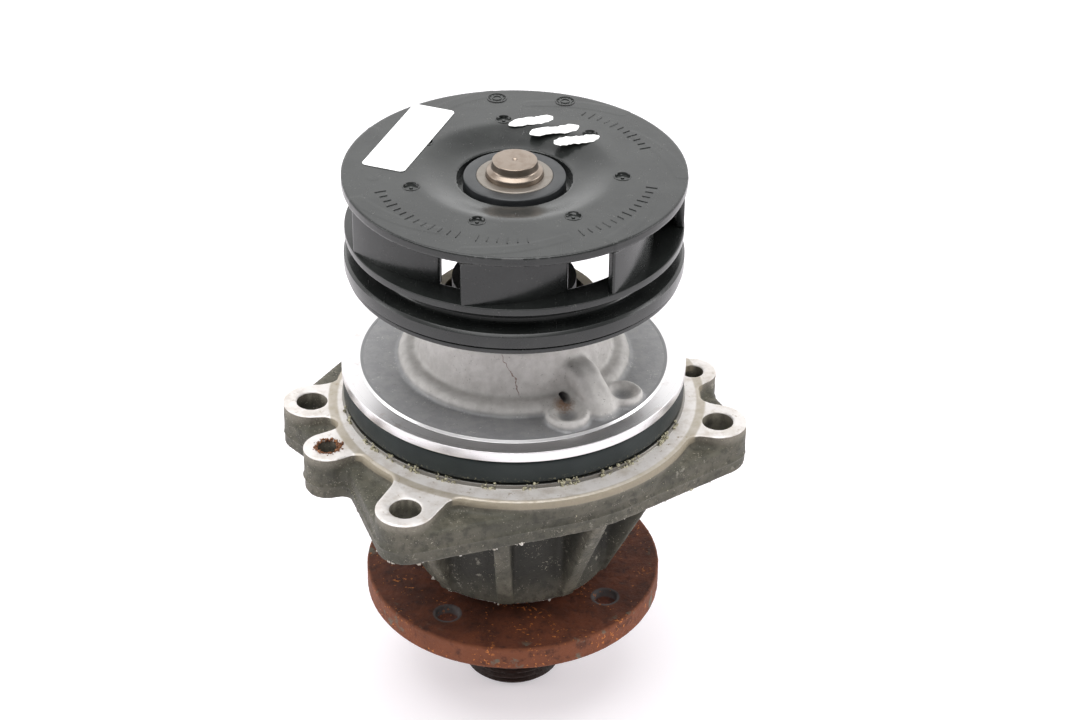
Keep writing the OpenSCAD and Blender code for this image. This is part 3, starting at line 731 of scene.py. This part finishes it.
def machined():
    """Turned aluminium of the spigot, with faint stains, and darker grey web metal inside the inner lip, partly
    its own finish and partly painted shade from the impeller above.
    """
    g = Graph("machined_aluminium")
    turned = g.lines(7.0)
    color = g.mix(turned, (0.72, 0.705, 0.71), (0.82, 0.805, 0.81))
    stain = g.blots(0.56, 0.70, 3.5, 5, 0.7, (1, 1, 2.5), 15)
    color = g.coat(color, (0.45, 0.36, 0.32), stain, 0.3)
    color = g.mix(g.cut(g.z, GROOVE_LOW - 2, GROOVE_TOP + 0.1, 0.05), color, (0.25, 0.24, 0.22))
    # painted shade: the web inside the inner lip gets the web's darker grey, partly its own finish and partly the
    # shade of the impeller above
    web = g.times(g.rise(g.r, RING_R - 0.4, RING_R - 0.5), g.rise(g.z, 9.5, 9.8))
    color = g.mix(web, color, (0.28, 0.28, 0.285))
    roughness = g.plus(g.spread(turned, 0.24, 0.36), g.times(web, 0.25))
    return g.paint(color, roughness, g.minus(0.95, g.times(web, 0.5)), g.bump(turned, 0.02))


def rubber():
    """Black rubber with a dusty bloom and pale grit along its lower edge."""
    g = Graph("seal_rubber", Specular_IOR_Level=0.35)
    color = g.mix(g.blots(0.3, 0.75, 6, 4), (0.011, 0.017, 0.017), (0.020, 0.027, 0.026))
    grit = g.times(g.rise(g.z, 3.2, 1.4), g.blots(0.58, 0.66, 0.6, 4, 0.7, seed=3))
    color = g.mix(grit, color, (0.36, 0.34, 0.22))
    return g.paint(color, g.spread(g.noise(1.5, 3), 0.45, 0.65), normal=g.bump(g.noise(0.8, 4), 0.04))


def rust():
    """Even brown rust, lighter and more orange on the rim partly as painted light, with orange specks, bare grey
    patches and a dark oily nose.
    """
    g = Graph("rusty_steel", Specular_IOR_Level=0.3)
    fine, cloud = g.noise(0.5, 5, 0.7), g.noise(7, 4, 0.6, seed=3)
    color = g.mix(g.rise(cloud, 0.3, 0.7), (0.085, 0.025, 0.012), (0.185, 0.052, 0.022))
    color = g.coat(color, (0.028, 0.011, 0.008), fine, 0.4)
    # painted light: the rim gets a lighter, more orange rust, partly its own tone and partly the light it catches
    rim = g.times(g.rise(g.r, FLANGE2_R - 0.8, FLANGE2_R - 0.2), g.spread(cloud, 0.5, 1.0))
    color = g.mix(rim, color, (0.20, 0.064, 0.028))
    color = g.coat(color, (0.035, 0.014, 0.010), g.blots(0.50, 0.68, 2.6, 5, 0.7, seed=13), 0.65)
    for i in range(TAPPED):
        angle = TAPPED_START + i * 360 / TAPPED
        spot = (TAPPED_CIRCLE_R * cos(angle), TAPPED_CIRCLE_R * sin(angle), FLANGE2_TOP)
        near = g.vector("DISTANCE", g.place, spot, "Value")
        color = g.coat(color, (0.10, 0.115, 0.12), g.rise(near, 3.7, 3.2), g.spread(fine, 0.4, 1.0))
    orange = g.times(g.specks(0.9, 0.84, 2), g.blots(0.42, 0.55, 14, 2, seed=8))
    color = g.mix(orange, color, (0.52, 0.17, 0.04))
    bare = g.times(g.rise(g.r, FLANGE2_R - 3.4, FLANGE2_R - 1.0), g.blots(0.58, 0.66, 5, 5, 0.6, seed=21))
    color = g.coat(color, (0.16, 0.155, 0.12), bare, 0.8)
    nose = g.rise(g.z, FLANGE2_LOW - 0.1, FLANGE2_LOW - 1.2)
    color = g.mix(nose, color, g.mix(cloud, (0.012, 0.008, 0.007), (0.05, 0.026, 0.02)))
    roughness = g.minus(g.spread(fine, 0.62, 0.9), g.times(nose, 0.3))
    height = g.plus(fine, g.times(g.noise(1.6, 4, seed=5), 1.8))
    return g.paint(color, roughness, g.times(bare, 0.4), g.bump(height, 0.14))


def turned_metal(name, dark, light, rough, metallic=1.0, lines=5.0, film=(0.2, 0.15, 0.1), film_share=0.0):
    """Turned metal: fine lines round the axis, a little variation and an optional film."""
    g = Graph(name, Metallic=metallic)
    turned = g.lines(lines)
    cloud = g.noise(3, 4, 0.6)
    color = g.coat(dark, light, g.plus(turned, cloud), 0.5)
    color = g.coat(color, film, g.rise(cloud, 0.45, 0.75), film_share)
    roughness = g.spread(g.times(g.plus(turned, cloud), 0.5), rough - 0.1, rough + 0.12)
    return g.paint(color, roughness, normal=g.bump(turned, 0.015))


def moulded(name, dark, light, rough, grain=0.5, depth=0.02):
    """Plain moulded or pressed material with cloudy colour and a fine grain."""
    g = Graph(name)
    color = g.mix(g.blots(0.3, 0.7, 4, 4), dark, light)
    roughness = g.spread(g.noise(1.4, 3, seed=2), rough - 0.08, rough + 0.1)
    return g.paint(color, roughness, normal=g.bump(g.noise(grain, 3, seed=5), depth))


def paper():
    """White sticker with a slight fibre, a cloudy tone and grey specks."""
    g = Graph("label_white")
    color = g.mix(g.blots(0.4, 0.8, 5, 4), (0.93, 0.93, 0.93), (0.84, 0.84, 0.85))
    color = g.coat(color, (0.45, 0.44, 0.42), g.specks(0.6, 0.88, 7), 0.4)
    return g.paint(color, g.spread(g.noise(2, 2), 0.35, 0.5), normal=g.bump(g.noise(3, 3, seed=6), 0.05))


# ---------------------------------------------------------------- pieces of the pump
def cast_roughness(p):
    """Unevenness of the as-cast skin, none on machined faces."""
    r, z = np.hypot(p[:, 0], p[:, 1]), p[:, 2]
    upper = (z > 10.3) & (z < 23.8)
    lower = (z < -0.5) & (z > NOSE_LOW + 0.3)
    bored = (r < CORE_R - 3.5) & (z < 10) | (r < CUP_R + 0.4)
    for place in EARS + JACKS:
        bored |= from_place(p[:, 0], p[:, 1], place) < SEAT_R - 1.4
    skin = (upper | lower) & ~bored
    return np.where(skin, 0.05 * waves(p, 5.0, 1) + 0.03 * waves(p, 1.8, 2) - 0.05, 0)


def rust_roughness(p):
    r = np.hypot(p[:, 0], p[:, 1])
    skin = (p[:, 2] > FLANGE2_LOW + 0.2) & (r > SHAFT_R + 0.6) & (p[:, 2] < BOSS_TOP - 0.1)
    return np.where(skin, 0.03 * waves(p, 3.0, 3) + 0.02 * waves(p, 1.1, 4) - 0.04, 0)


def make_housing():
    return dress(field_piece("housing_casting", "housing", "cast_aluminium", housing_field, 0.5, "housing",
                             rough=cast_roughness, keep=0.4, sharp=42), casting())


def make_machined_rim():
    """The spigot: turned lips, the ring between them and the groove for the rubber ring."""
    outline = [
        (WEB_R, 9.0), (WEB_R, WEB_TOP + 0.02), (RING_R - 0.4, WEB_TOP + 0.02), (RING_R, SPIGOT_TOP),
        (SPIGOT_R, SPIGOT_TOP), (SPIGOT_R, GROOVE_TOP), (GROOVE_R, GROOVE_TOP), (GROOVE_R, GROOVE_LOW),
        (SPIGOT_R, GROOVE_LOW), (SPIGOT_R, 0.1), (SPIGOT_R + 0.5, -0.2), (RIM_CORE_R, -0.6),
        (RIM_CORE_R, 9.0)]
    radii = [0, 0.08, 0.1, 0.15, 0.22, 0.18, 0.2, 0.2, 0.15, 0.3, 0, 0, 0]
    dress(lathe("spigot_rim", "housing", "cast_aluminium", rounded(outline, radii), segments=320), machined())


def make_spigot_ring():
    """The rubber ring in the spigot's groove, slightly uneven outside."""
    outline = rounded(tube(GROOVE_R + 0.15, SPIGOT_R - 0.2, GROOVE_LOW + 0.15, GROOVE_TOP - 0.15),
                      [0.3, 1.2, 1.2, 0.3])

    def wobble(p):
        r = np.hypot(p[:, 0], p[:, 1])
        face = np.clip((r - SPIGOT_R + 0.8) / 0.6, 0, 1)
        return p * np.stack([1 + face * 0.0012 * waves(p, 9, 11)] * 2 + [np.ones(len(p))], 1)
    dress(lathe("spigot_gasket", "housing", "seal_rubber", outline, "spigot_seal_ring", segments=256,
                wobble=wobble), rubber())


def make_impeller():
    """The disc with its vanes, its moulded marks, and the shroud with the labyrinth ring below it."""
    plastic = impeller_plastic()
    dress(field_piece("impeller_wheel", "rotor", "impeller_plastic", impeller_field, 0.38, "impeller",
                      keep=0.7, sharp=50), plastic)
    inner, under, low = EYE_R + COLLAR_T, SHROUD_TOP - SHROUD_T, LABYRINTH_LOW
    outline = [
        (EYE_R, low), (SHROUD_R - 0.9, low), (SHROUD_R - 0.2, low + 0.6), (SHROUD_R - 0.2, low + 1.5),
        (SHROUD_R - 0.6, low + 1.6), (SHROUD_R - 0.6, low + 2.0), (SHROUD_R + 0.3, low + 2.1),
        (SHROUD_R + 0.3, LABYRINTH_TOP - 0.6), (SHROUD_R - 0.3, LABYRINTH_TOP), (inner, LABYRINTH_TOP),
        (inner, under), (SHROUD_R, under), (SHROUD_R, SHROUD_TOP), (EYE_R, SHROUD_TOP)]
    radii = [0.4, 0.4, 0.2, 0.15, 0.05, 0.1, 0.15, 0.2, 0.3, 1.2, 1.2, 0.25, 0.25, 1.0]
    dress(lathe("impeller_shroud_ring", "rotor", "impeller_plastic", rounded(outline, radii),
                "impeller_shroud", segments=256), plastic)
    make_disc_marks(plastic)


def make_hub_parts():
    """The plastic sleeve and metal bush in the middle of the impeller, and the shaft."""
    low, high = (corner[2] for corner in cad_mm("impeller_sleeve"))
    bush_r = cad_mm("impeller_bush")[1][0]
    outline = rounded(tube(bush_r, SLEEVE_R, low, high), [0.2, 0.3, 0.45, 0.2])
    dress(lathe("impeller_hub_sleeve", "rotor", "sleeve_plastic", outline, "impeller_sleeve"),
          moulded("sleeve_plastic", (0.022, 0.024, 0.026), (0.034, 0.036, 0.038), 0.38))
    low, high = (corner[2] for corner in cad_mm("impeller_bush"))
    outline = rounded(tube(BUSH_SEAT_R, bush_r, low, high), [0.3, 0.3, 0.35, 0.25])
    metal = ((0.20, 0.18, 0.155), (0.33, 0.30, 0.27), 0.45, 0.85, 3.0, (0.14, 0.11, 0.085), 0.5)
    dress(lathe("impeller_hub_bush", "rotor", "bush_metal", outline, "impeller_bush"),
          turned_metal("bush_metal", *metal))
    bottom, top = (corner[2] for corner in cad_mm("shaft"))
    outline = [
        (0, bottom + 2.9), (2.0, bottom), (SHAFT_R - 0.4, bottom), (SHAFT_R, bottom + 0.4),
        (SHAFT_R, BEARING_END_LOW), (BEARING_SHAFT_R, BEARING_END_LOW), (BEARING_SHAFT_R, BEARING_END_TOP),
        (SHAFT_R, BEARING_END_TOP), (SHAFT_R, BUSH_SEAT_Z), (BUSH_SEAT_R, BUSH_SEAT_Z),
        (BUSH_SEAT_R, top - 2.5), (SHAFT_END_R + 0.15, top - 1.9), (SHAFT_END_R, top), (0.7, top), (0, top - 0.6)]
    radii = [0, 0.1, 0.1, 0.1, 0.1, 0.15, 0.15, 0.1, 0.1, 0.1, 0.5, 0.7, 0.3, 0.15, 0]
    metal = ((0.25, 0.205, 0.17), (0.36, 0.30, 0.25), 0.36, 1.0, 4.0, (0.17, 0.12, 0.085), 0.5)
    dress(lathe("pump_shaft", "rotor", "shaft_steel", rounded(outline, radii), "shaft"),
          turned_metal("shaft_steel", *metal))


def make_seal_parts():
    """The shaft seal's bellows and coil spring, at their CAD length; in the pump they shorten as the carbon ring
    floats back.
    """
    low, high = (corner[2] for corner in cad_mm("seal_bellows"))
    middle = (low + high) / 2
    foot, waist = BELLOWS_OUT_R + 1, BELLOWS_OUT_R - 1
    outline = [
        (CUP_HOLE_R, low), (foot, low), (foot, low + 1), (waist, low + 1.4), (BELLOWS_OUT_R + 0.8, middle),
        (waist, high - 1.4), (waist, high), (BELLOWS_IN_R, high), (BELLOWS_IN_R, high - 1.8),
        (BELLOWS_IN_R + 1.6, middle), (CUP_HOLE_R, low + 1.4)]
    radii = [0.2, 0.3, 0.3, 0.6, 0.7, 0.5, 0.2, 0.2, 0.7, 0.7, 0.4]
    bellows = lathe("rubber_bellows", "housing", "seal_rubber", rounded(outline, radii), "seal_bellows")
    dress(bellows, moulded("bellows_rubber", (0.018, 0.018, 0.018), (0.032, 0.032, 0.031), 0.5))
    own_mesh(bellows)

    start, end = cad_mm("seal_spring")
    sides, steps = WIRE_SIDES, SPRING_STEPS * SPRING_TURNS
    around = 2 * math.pi * np.arange(sides) / sides
    out = end[0] - SPRING_WIRE_R + SPRING_WIRE_R * np.cos(around)
    climb = end[2] - start[2] - 2 * SPRING_WIRE_R
    vertices = []
    for i in range(steps + 1):
        z = start[2] + SPRING_WIRE_R + climb * i / steps + SPRING_WIRE_R * np.sin(around)
        turn = 2 * math.pi * SPRING_TURNS * i / steps
        vertices += list(zip(out * math.cos(turn), out * math.sin(turn), z))
    faces = [[a + k, b + k, b + (k + 1) % sides, a + (k + 1) % sides]
             for a, b in ((i * sides, (i + 1) * sides) for i in range(steps)) for k in range(sides)]
    faces += [list(range(sides)), [steps * sides + k for k in reversed(range(sides))]]
    spring = dress(piece("coil_spring", "housing", "spring_steel", vertices, faces, "seal_spring", sharp=60),
                   turned_metal("spring_wire", (0.48, 0.48, 0.5), (0.66, 0.66, 0.68), 0.28))
    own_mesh(spring)


def make_pulley_hub():
    dress(field_piece("pulley_hub_rusted", "rotor", "rusty_steel", hub_field, 0.42, "pulley_hub",
                      rough=rust_roughness, sharp=45), rust())


def lumps(name, body, slot, places, normals, sizes, seed, material):
    """Small irregular crumbs, one closed lump for each place, sunk a little into the surface."""
    ball = bmesh.new()
    bmesh.ops.create_icosphere(ball, subdivisions=1, radius=1)
    shape = np.array([v.co[:] for v in ball.verts])
    faces = np.array([[v.index for v in f.verts] for f in ball.faces])
    ball.free()
    draw = np.random.default_rng(seed)
    vertices, index = [], []
    for place, normal, size in zip(places, normals, sizes):
        bumpy = shape * draw.uniform(0.6, 1.3, (len(shape), 1)) * draw.uniform(0.6, 1.2, 3) * size
        index.append(faces + len(vertices) * len(shape))
        vertices.append(bumpy + place + normal * size * 0.25)
    inside = np.clip(np.vstack(vertices), np.array(CAD_LOW) / MM, np.array(CAD_HIGH) / MM)
    dress(piece(name, body, slot, inside, np.vstack(index), sharp=60), material)


def crust(name, pale, dark):
    """Dry crumbly deposit."""
    g = Graph(name)
    color = g.mix(g.blots(0.35, 0.7, 0.7, 4), dark, pale)
    return g.paint(color, g.spread(g.noise(0.5, 2), 0.7, 0.95), normal=g.bump(g.noise(0.3, 4), 0.08))


def on_mesh(made, keep, count, seed):
    """Up to count seeded picks of a mesh's vertices where keep is true, and their normals; millimetres."""
    mesh = made.data
    p, n = np.empty(len(mesh.vertices) * 3), np.empty(len(mesh.vertices) * 3)
    mesh.vertices.foreach_get("co", p)
    mesh.vertices.foreach_get("normal", n)
    p, n = p.reshape(-1, 3) / MM, n.reshape(-1, 3)
    found = np.flatnonzero(keep(p))
    picks = np.random.default_rng(seed).choice(found, min(count, len(found)), replace=False)
    return p[picks], n[picks]


def sizes_for(count, low, high, seed):
    """Seeded sizes, most of them small."""
    return low + (high - low) * np.random.default_rng(seed).random(count) ** 2.5


def make_deposits(housing):
    """Crumbs of white corrosion, rust and grit on the casting and round the rubber ring."""
    white = crust("white_crust", (0.80, 0.77, 0.72), (0.50, 0.45, 0.38))
    grit = crust("grit", (0.66, 0.62, 0.45), (0.26, 0.24, 0.16))
    flakes = crust("rust_flakes", (0.34, 0.15, 0.06), (0.09, 0.035, 0.02))

    def lower_edge(p):
        out = np.hypot(p[:, 0], p[:, 1]) > FLANGE_R - 1
        front = (p[:, 1] < -36) & (p[:, 0] > -27) & (p[:, 0] < 9)
        clumps = waves(p, 7.0, 21) > 0.15
        return out & front & clumps & (p[:, 2] < FLANGE_LOW + 0.7) & (p[:, 2] > FLANGE_LOW - 0.3)

    def rib_feet(p):
        r = np.hypot(p[:, 0], p[:, 1])
        feet = (p[:, 2] < FLANGE_LOW + 0.3) & (p[:, 2] > FLANGE_LOW - 4) & (r > RIB_ROOT_R - 4)
        nose = (p[:, 2] < NOSE_LOW + 1.6) & (r > NOSE_R - 0.5)
        return (feet | nose) & (waves(p, 6.0, 22) > 0.45)

    def thread_top(p):
        near = from_place(p[:, 0], p[:, 1], JACKS[0]) < JACK_HOLE_R + 1.3
        return near & (p[:, 2] > -3.0) & (p[:, 2] < 0.3)

    def scattered(p):
        return (p[:, 2] < 0.3) & (p[:, 2] > NOSE_LOW) & (waves(p, 14.0, 24) > 0.2)

    jobs = [("edge_crust", lower_edge, 420, 0.09, 0.55, white), ("rib_crust", rib_feet, 190, 0.1, 0.5, white),
            ("thread_rust", thread_top, 170, 0.15, 0.6, flakes),
            ("side_grit", scattered, 420, 0.06, 0.22, grit)]
    for seed, (name, keep, count, small, large, material) in enumerate(jobs):
        places, normals = on_mesh(housing, keep, count, 50 + seed)
        if len(places):
            sizes = sizes_for(len(places), small, large, 60 + seed)
            lumps(name, "housing", "cast_aluminium", places, normals, sizes, 70 + seed, material)
    draw, count = np.random.default_rng(90), 900
    turn, height = np.radians(draw.uniform(185, 355, count)), draw.uniform(0, 1, count) ** 2 * 1.5
    out = np.stack([np.cos(turn), np.sin(turn), np.zeros(count)], 1)
    places = out * (SPIGOT_R - 0.1 + draw.uniform(0, 0.5, count) * (height < 0.6))[:, None]
    places[:, 2] = height
    clumped = waves(places * [1, 1, 0], 6.0, 23) + 0.9 * np.sin(-turn) > 0.75
    places, out = places[clumped], out[clumped]
    sizes = sizes_for(len(places), 0.09, 0.5, 91)
    lumps("ring_grit", "housing", "cast_aluminium", places, out, sizes, 92, grit)


def ribbon(points, width, height, seed):
    """A domed brush stroke lying on the disc: vertices and faces, in millimetres."""
    path = np.array(points, float)
    steps, across = 5 * (len(path) - 1) + 1, 7
    t = np.linspace(0, len(path) - 1, steps)
    draw = np.random.default_rng(seed)
    spine = np.stack([np.interp(t, range(len(path)), path[:, i]) for i in range(2)], 1)
    for _ in range(3):
        spine[1:-1] = (spine[:-2] + 2 * spine[1:-1] + spine[2:]) / 4
    slope = np.gradient(spine, axis=0)
    side = np.stack([-slope[:, 1], slope[:, 0]], 1) / np.linalg.norm(slope, axis=1)[:, None]
    taper = np.sqrt(np.clip(1 - np.abs(np.linspace(-1, 1, steps)) ** 6, 0.02, 1))
    wide = width * taper * draw.uniform(0.82, 1.12, steps)
    vertices = []
    for i in range(steps):
        for level in (0, 1):
            for k in range(across):
                u = 2 * k / (across - 1) - 1
                rise = -0.06 if level == 0 else height * taper[i] * (1 - u ** 4) * draw.uniform(0.8, 1.15)
                vertices.append((*(spine[i] + side[i] * wide[i] * u / 2), DISC_TOP + rise))
    faces, row = [], 2 * across
    for i in range(steps - 1):
        a, b = i * row, (i + 1) * row
        for k in range(across - 1):
            faces.append((a + k, a + k + 1, b + k + 1, b + k))
            faces.append((a + across + k, b + across + k, b + across + k + 1, a + across + k + 1))
        faces.append((a, b, b + across, a + across))
        faces.append((a + across - 1, a + row - 1, b + row - 1, b + across - 1))
    for a, flip in ((0, 1), ((steps - 1) * row, -1)):
        loop = [a + k for k in range(across)] + [a + row - 1 - k for k in range(across)]
        faces.append(loop[::-1] if flip > 0 else loop)
    return vertices, faces


def make_paint_mark():
    """Three plain brush dabs of white paint."""
    g = Graph("white_paint")
    color = g.mix(g.blots(0.4, 0.75, 2.5, 4), (0.90, 0.90, 0.89), (0.74, 0.74, 0.73))
    brushed = g.bump(g.noise(0.8, 3, stretch=(1, 0.3, 1)), 0.05)
    paint = g.paint(color, g.spread(g.noise(1, 2), 0.3, 0.5), normal=brushed)
    strokes = [[(-1.6, 20.8), (2.0, 23.0), (5.2, 23.4), (8.4, 25.4)],
               [(3.2, 16.6), (6.8, 18.6), (10.6, 18.9), (14.4, 21.0)],
               [(8.8, 12.2), (12.0, 14.0), (15.4, 14.3), (19.0, 16.2)]]
    vertices, faces = [], []
    for i, stroke in enumerate(strokes):
        more, sides = ribbon(stroke, 3.6, 0.2, 80 + i)
        faces += [[len(vertices) + k for k in side] for side in sides]
        vertices += more
    dress(piece("paint_mark", "rotor", "label_white", vertices, faces, sharp=60), paint)


def make_label():
    """Blank white sticker with rounded corners, its surface very slightly rippled."""
    low, high = cad_mm("impeller_label")
    centre = [(a + b) / 2 for a, b in zip(low, high)]
    wide, long, corner, steps = LABEL_SIZE[0] / 2, LABEL_SIZE[1] / 2, 1.2, 8
    outline = []
    for i, (sx, sy) in enumerate(((1, 1), (-1, 1), (-1, -1), (1, -1))):
        for k in range(steps + 1):
            angle = 90 * i + 90 * k / steps
            outline.append((sx * (wide - corner) + corner * cos(angle),
                            sy * (long - corner) + corner * sin(angle)))
    count, vertices, faces = len(outline), [], []
    shrinks = (1.0, 1.0, 0.985, 0.7, 0.35)
    for ring, shrink in enumerate(shrinks):
        for u, v in outline:
            x, y = turned(u * shrink, v * shrink, -LABEL_TURN)
            ripple = 0.02 * math.sin(u * 1.3) + 0.02 * math.sin(v * 0.9)
            lift = LABEL_T + ripple * shrink if ring else 0.0
            vertices.append((centre[0] + x, centre[1] + y, DISC_TOP + lift))
    for ring in range(len(shrinks) - 1):
        for k in range(count):
            a, b, n = ring * count, (ring + 1) * count, (k + 1) % count
            faces.append((a + k, a + n, b + n, b + k))
    faces.append(list(range(count))[::-1])
    faces.append([(len(shrinks) - 1) * count + k for k in range(count)])
    dress(piece("blank_label", "rotor", "label_white", vertices, faces, "impeller_label", sharp=50), paper())


def make_disc_marks(plastic):
    """Moulded marks on the disc: pips in the dimples, two plain rings, and a scale of short ticks."""
    vertices, faces = [], []

    def pad(x, y, angle, length, width, low, top):
        """A small raised bar with sloped sides."""
        start = len(vertices)
        for z, shrink in ((low, 0), (top, 0.09)):
            for a, b in ((-1, -1), (1, -1), (1, 1), (-1, 1)):
                u, v = a * (length / 2 - shrink), b * (width / 2 - shrink)
                vertices.append((x + u * cos(angle) - v * sin(angle), y + u * sin(angle) + v * cos(angle), z))
        for f in ((3, 2, 1, 0), (4, 5, 6, 7), (0, 1, 5, 4), (1, 2, 6, 5), (2, 3, 7, 6), (3, 0, 4, 7)):
            faces.append([start + k for k in f])

    def ring(x, y, r, width, low, top, segments=36):
        """A small raised ring, or a round pip if its width is its radius."""
        start = len(vertices)
        inner = r - width
        for radius, z in ((r, low), (r - 0.08, top), (max(inner, 0.05), top), (max(inner - 0.08, 0.04), low)):
            for k in range(segments):
                angle = 360 * k / segments
                vertices.append((x + radius * cos(angle), y + radius * sin(angle), z))
        for j in range(4):
            for k in range(segments):
                a, b = start + j * segments, start + (j + 1) % 4 * segments
                faces.append((a + k, a + (k + 1) % segments, b + (k + 1) % segments, b + k))

    base = DISC_TOP - 0.1
    for i in range(VANES):
        angle = DIMPLE_START + i * 360 / VANES
        x, y = DIMPLE_CIRCLE_R * cos(angle), DIMPLE_CIRCLE_R * sin(angle)
        ring(x, y, 0.45, 0.45, DISC_TOP - 0.62, DISC_TOP - 0.3, 16)
        ring(x, y, DIMPLE_R + 0.35, 0.3, base, DISC_TOP + 0.06)
    for x, y in ((-4.6, 34.3), (11.3, 33.1)):
        ring(x, y, 2.4, 0.35, base, DISC_TOP + 0.12)
        ring(x, y, 1.2, 0.3, base, DISC_TOP + 0.12, 24)
        for k in range(12):
            angle = 30 * k
            pad(x + 1.75 * cos(angle), y + 1.75 * sin(angle), angle, 0.5, 0.22, base, DISC_TOP + 0.1)
    radius = TICK_CIRCLE_R
    for first, last in ((20, 62), (-62, -14), (-160, -112), (-104, -84)):
        for k in range(int((last - first) / 4) + 1):
            angle, length = first + 4 * k, 1.9 if k % 3 else 2.7
            pad(radius * cos(angle), radius * sin(angle), angle, length, 0.32, base, DISC_TOP + 0.11)
    dress(piece("disc_marks", "rotor", "impeller_plastic", vertices, faces, sharp=30), plastic)


def dress_cad_nodes():
    """Materials for the nodes whose CAD shape is kept."""
    steel = turned_metal("bearing_steel", (0.5, 0.5, 0.52), (0.68, 0.68, 0.7), 0.22)
    spring = turned_metal("spring_steel", (0.48, 0.48, 0.5), (0.66, 0.66, 0.68), 0.3)
    cage = moulded("cage_plastic", (0.12, 0.085, 0.045), (0.2, 0.14, 0.075), 0.45)
    black = moulded("lip_rubber", (0.02, 0.02, 0.02), (0.035, 0.035, 0.034), 0.55)
    brass = turned_metal("seal_brass", (0.30, 0.26, 0.19), (0.46, 0.41, 0.32), 0.34,
                         film=(0.16, 0.14, 0.11), film_share=0.6)
    carbon = moulded("carbon", (0.03, 0.03, 0.033), (0.05, 0.05, 0.055), 0.32, 0.3, 0.008)
    ceramic = moulded("ceramic", (0.7, 0.69, 0.63), (0.82, 0.81, 0.76), 0.25, 0.4, 0.006)
    choice = {
        steel: ("bearing_outer_ring", "bearing_balls_pulley_side", "bearing_balls_impeller_side"),
        cage: ("bearing_cage_pulley_side", "bearing_cage_impeller_side"),
        black: ("bearing_seal_pulley_side", "bearing_seal_impeller_side", "seat_boot"),
        spring: ("slinger", "seal_driver"), brass: ("seal_cup",), carbon: ("carbon_ring",),
        ceramic: ("seal_seat",),
    }
    for material, names in choice.items():
        for name in names:
            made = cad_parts[name]
            made.data.materials.clear()
            dress(made, material)


# ---------------------------------------------------------------- camera, floor and light
SKY_LOW, SKY_HIGH = 0.42, 1.75
FLOOR_HALF, FLOOR_GLOW = 3.0, 0.42


def make_camera():
    """The photograph's view: a long lens, looking down at the mounting face."""
    data = bpy.data.cameras.new("camera")
    data.sensor_width, data.lens = 36.0, 88.62
    camera = add_object("camera", data)
    right = Vector((0.99993953, 0.00599008, 0.00922228))
    back = Vector((0.0, -0.8386265, 0.54470689))
    turn = Matrix((right, back.cross(right), back)).transposed()
    camera.matrix_world = Matrix.Translation((0.006103, -0.519139, 0.345490)) @ turn.to_4x4()
    data.clip_start, data.clip_end = 0.05, 20
    bpy.context.scene.camera = camera


def area_light(name, at, size, power):
    """A round light at a place, turned to the origin."""
    data = bpy.data.lights.new(name, "AREA")
    data.shape, data.size, data.energy = "DISK", size, power
    light = add_object(name, data)
    light.location = at
    light.rotation_mode = "QUATERNION"
    light.rotation_quaternion = (-Vector(at)).to_track_quat("-Z", "Y")


def make_surroundings():
    """A pale glowing floor, a sky that is brightest high up and behind, and three soft lights."""
    scene = bpy.context.scene
    mesh = bpy.data.meshes.new("floor")
    half, drop = FLOOR_HALF, CAD_LOW[2] - 0.0001
    corners = [(-half, -half, drop), (half, -half, drop), (half, half, drop), (-half, half, drop)]
    mesh.from_pydata(corners, [], [(0, 1, 2, 3)])
    floor = add_object("floor", mesh)
    g = Graph("floor", Roughness=0.9, Specular_IOR_Level=0.2, Emission_Color=(1.0, 0.965, 1.0, 1),
              Emission_Strength=FLOOR_GLOW)
    dress(floor, g.paint(g.mix(g.noise(400, 1), (0.66, 0.64, 0.66), (0.70, 0.68, 0.70))))
    world = bpy.data.worlds.new("studio")
    world.use_nodes = True
    tree = world.node_tree
    sky = tree.nodes["Background"]
    split = add_node(tree, "ShaderNodeSeparateXYZ",
                     {0: add_node(tree, "ShaderNodeTexCoord").outputs["Generated"]}).outputs
    inputs = {0: split["Z"], 1: -0.6, 2: split["Y"]}
    height = add_node(tree, "ShaderNodeMath", inputs, operation="MULTIPLY_ADD").outputs[0]
    inputs = {0: height, 1: -0.3, 2: 0.8, 3: SKY_LOW, 4: SKY_HIGH}
    glow = add_node(tree, "ShaderNodeMapRange", inputs, interpolation_type="SMOOTHSTEP").outputs[0]
    tree.links.new(glow, sky.inputs["Strength"])
    sky.inputs["Color"].default_value = (1.0, 1.0, 1.0, 1)
    scene.world = world
    area_light("overhead", (-0.1, -0.1, 1.1), 1.3, 15)
    area_light("left", (-0.9, 0.0, 0.35), 0.5, 2.2)
    area_light("right", (0.9, 0.05, 0.35), 0.5, 2.6)
    scene.view_settings.view_transform = "Standard"


make_camera()
make_surroundings()
make_deposits(make_housing())
make_machined_rim()
make_spigot_ring()
make_impeller()
make_hub_parts()
make_seal_parts()
make_pulley_hub()
make_paint_mark()
make_label()
dress_cad_nodes()
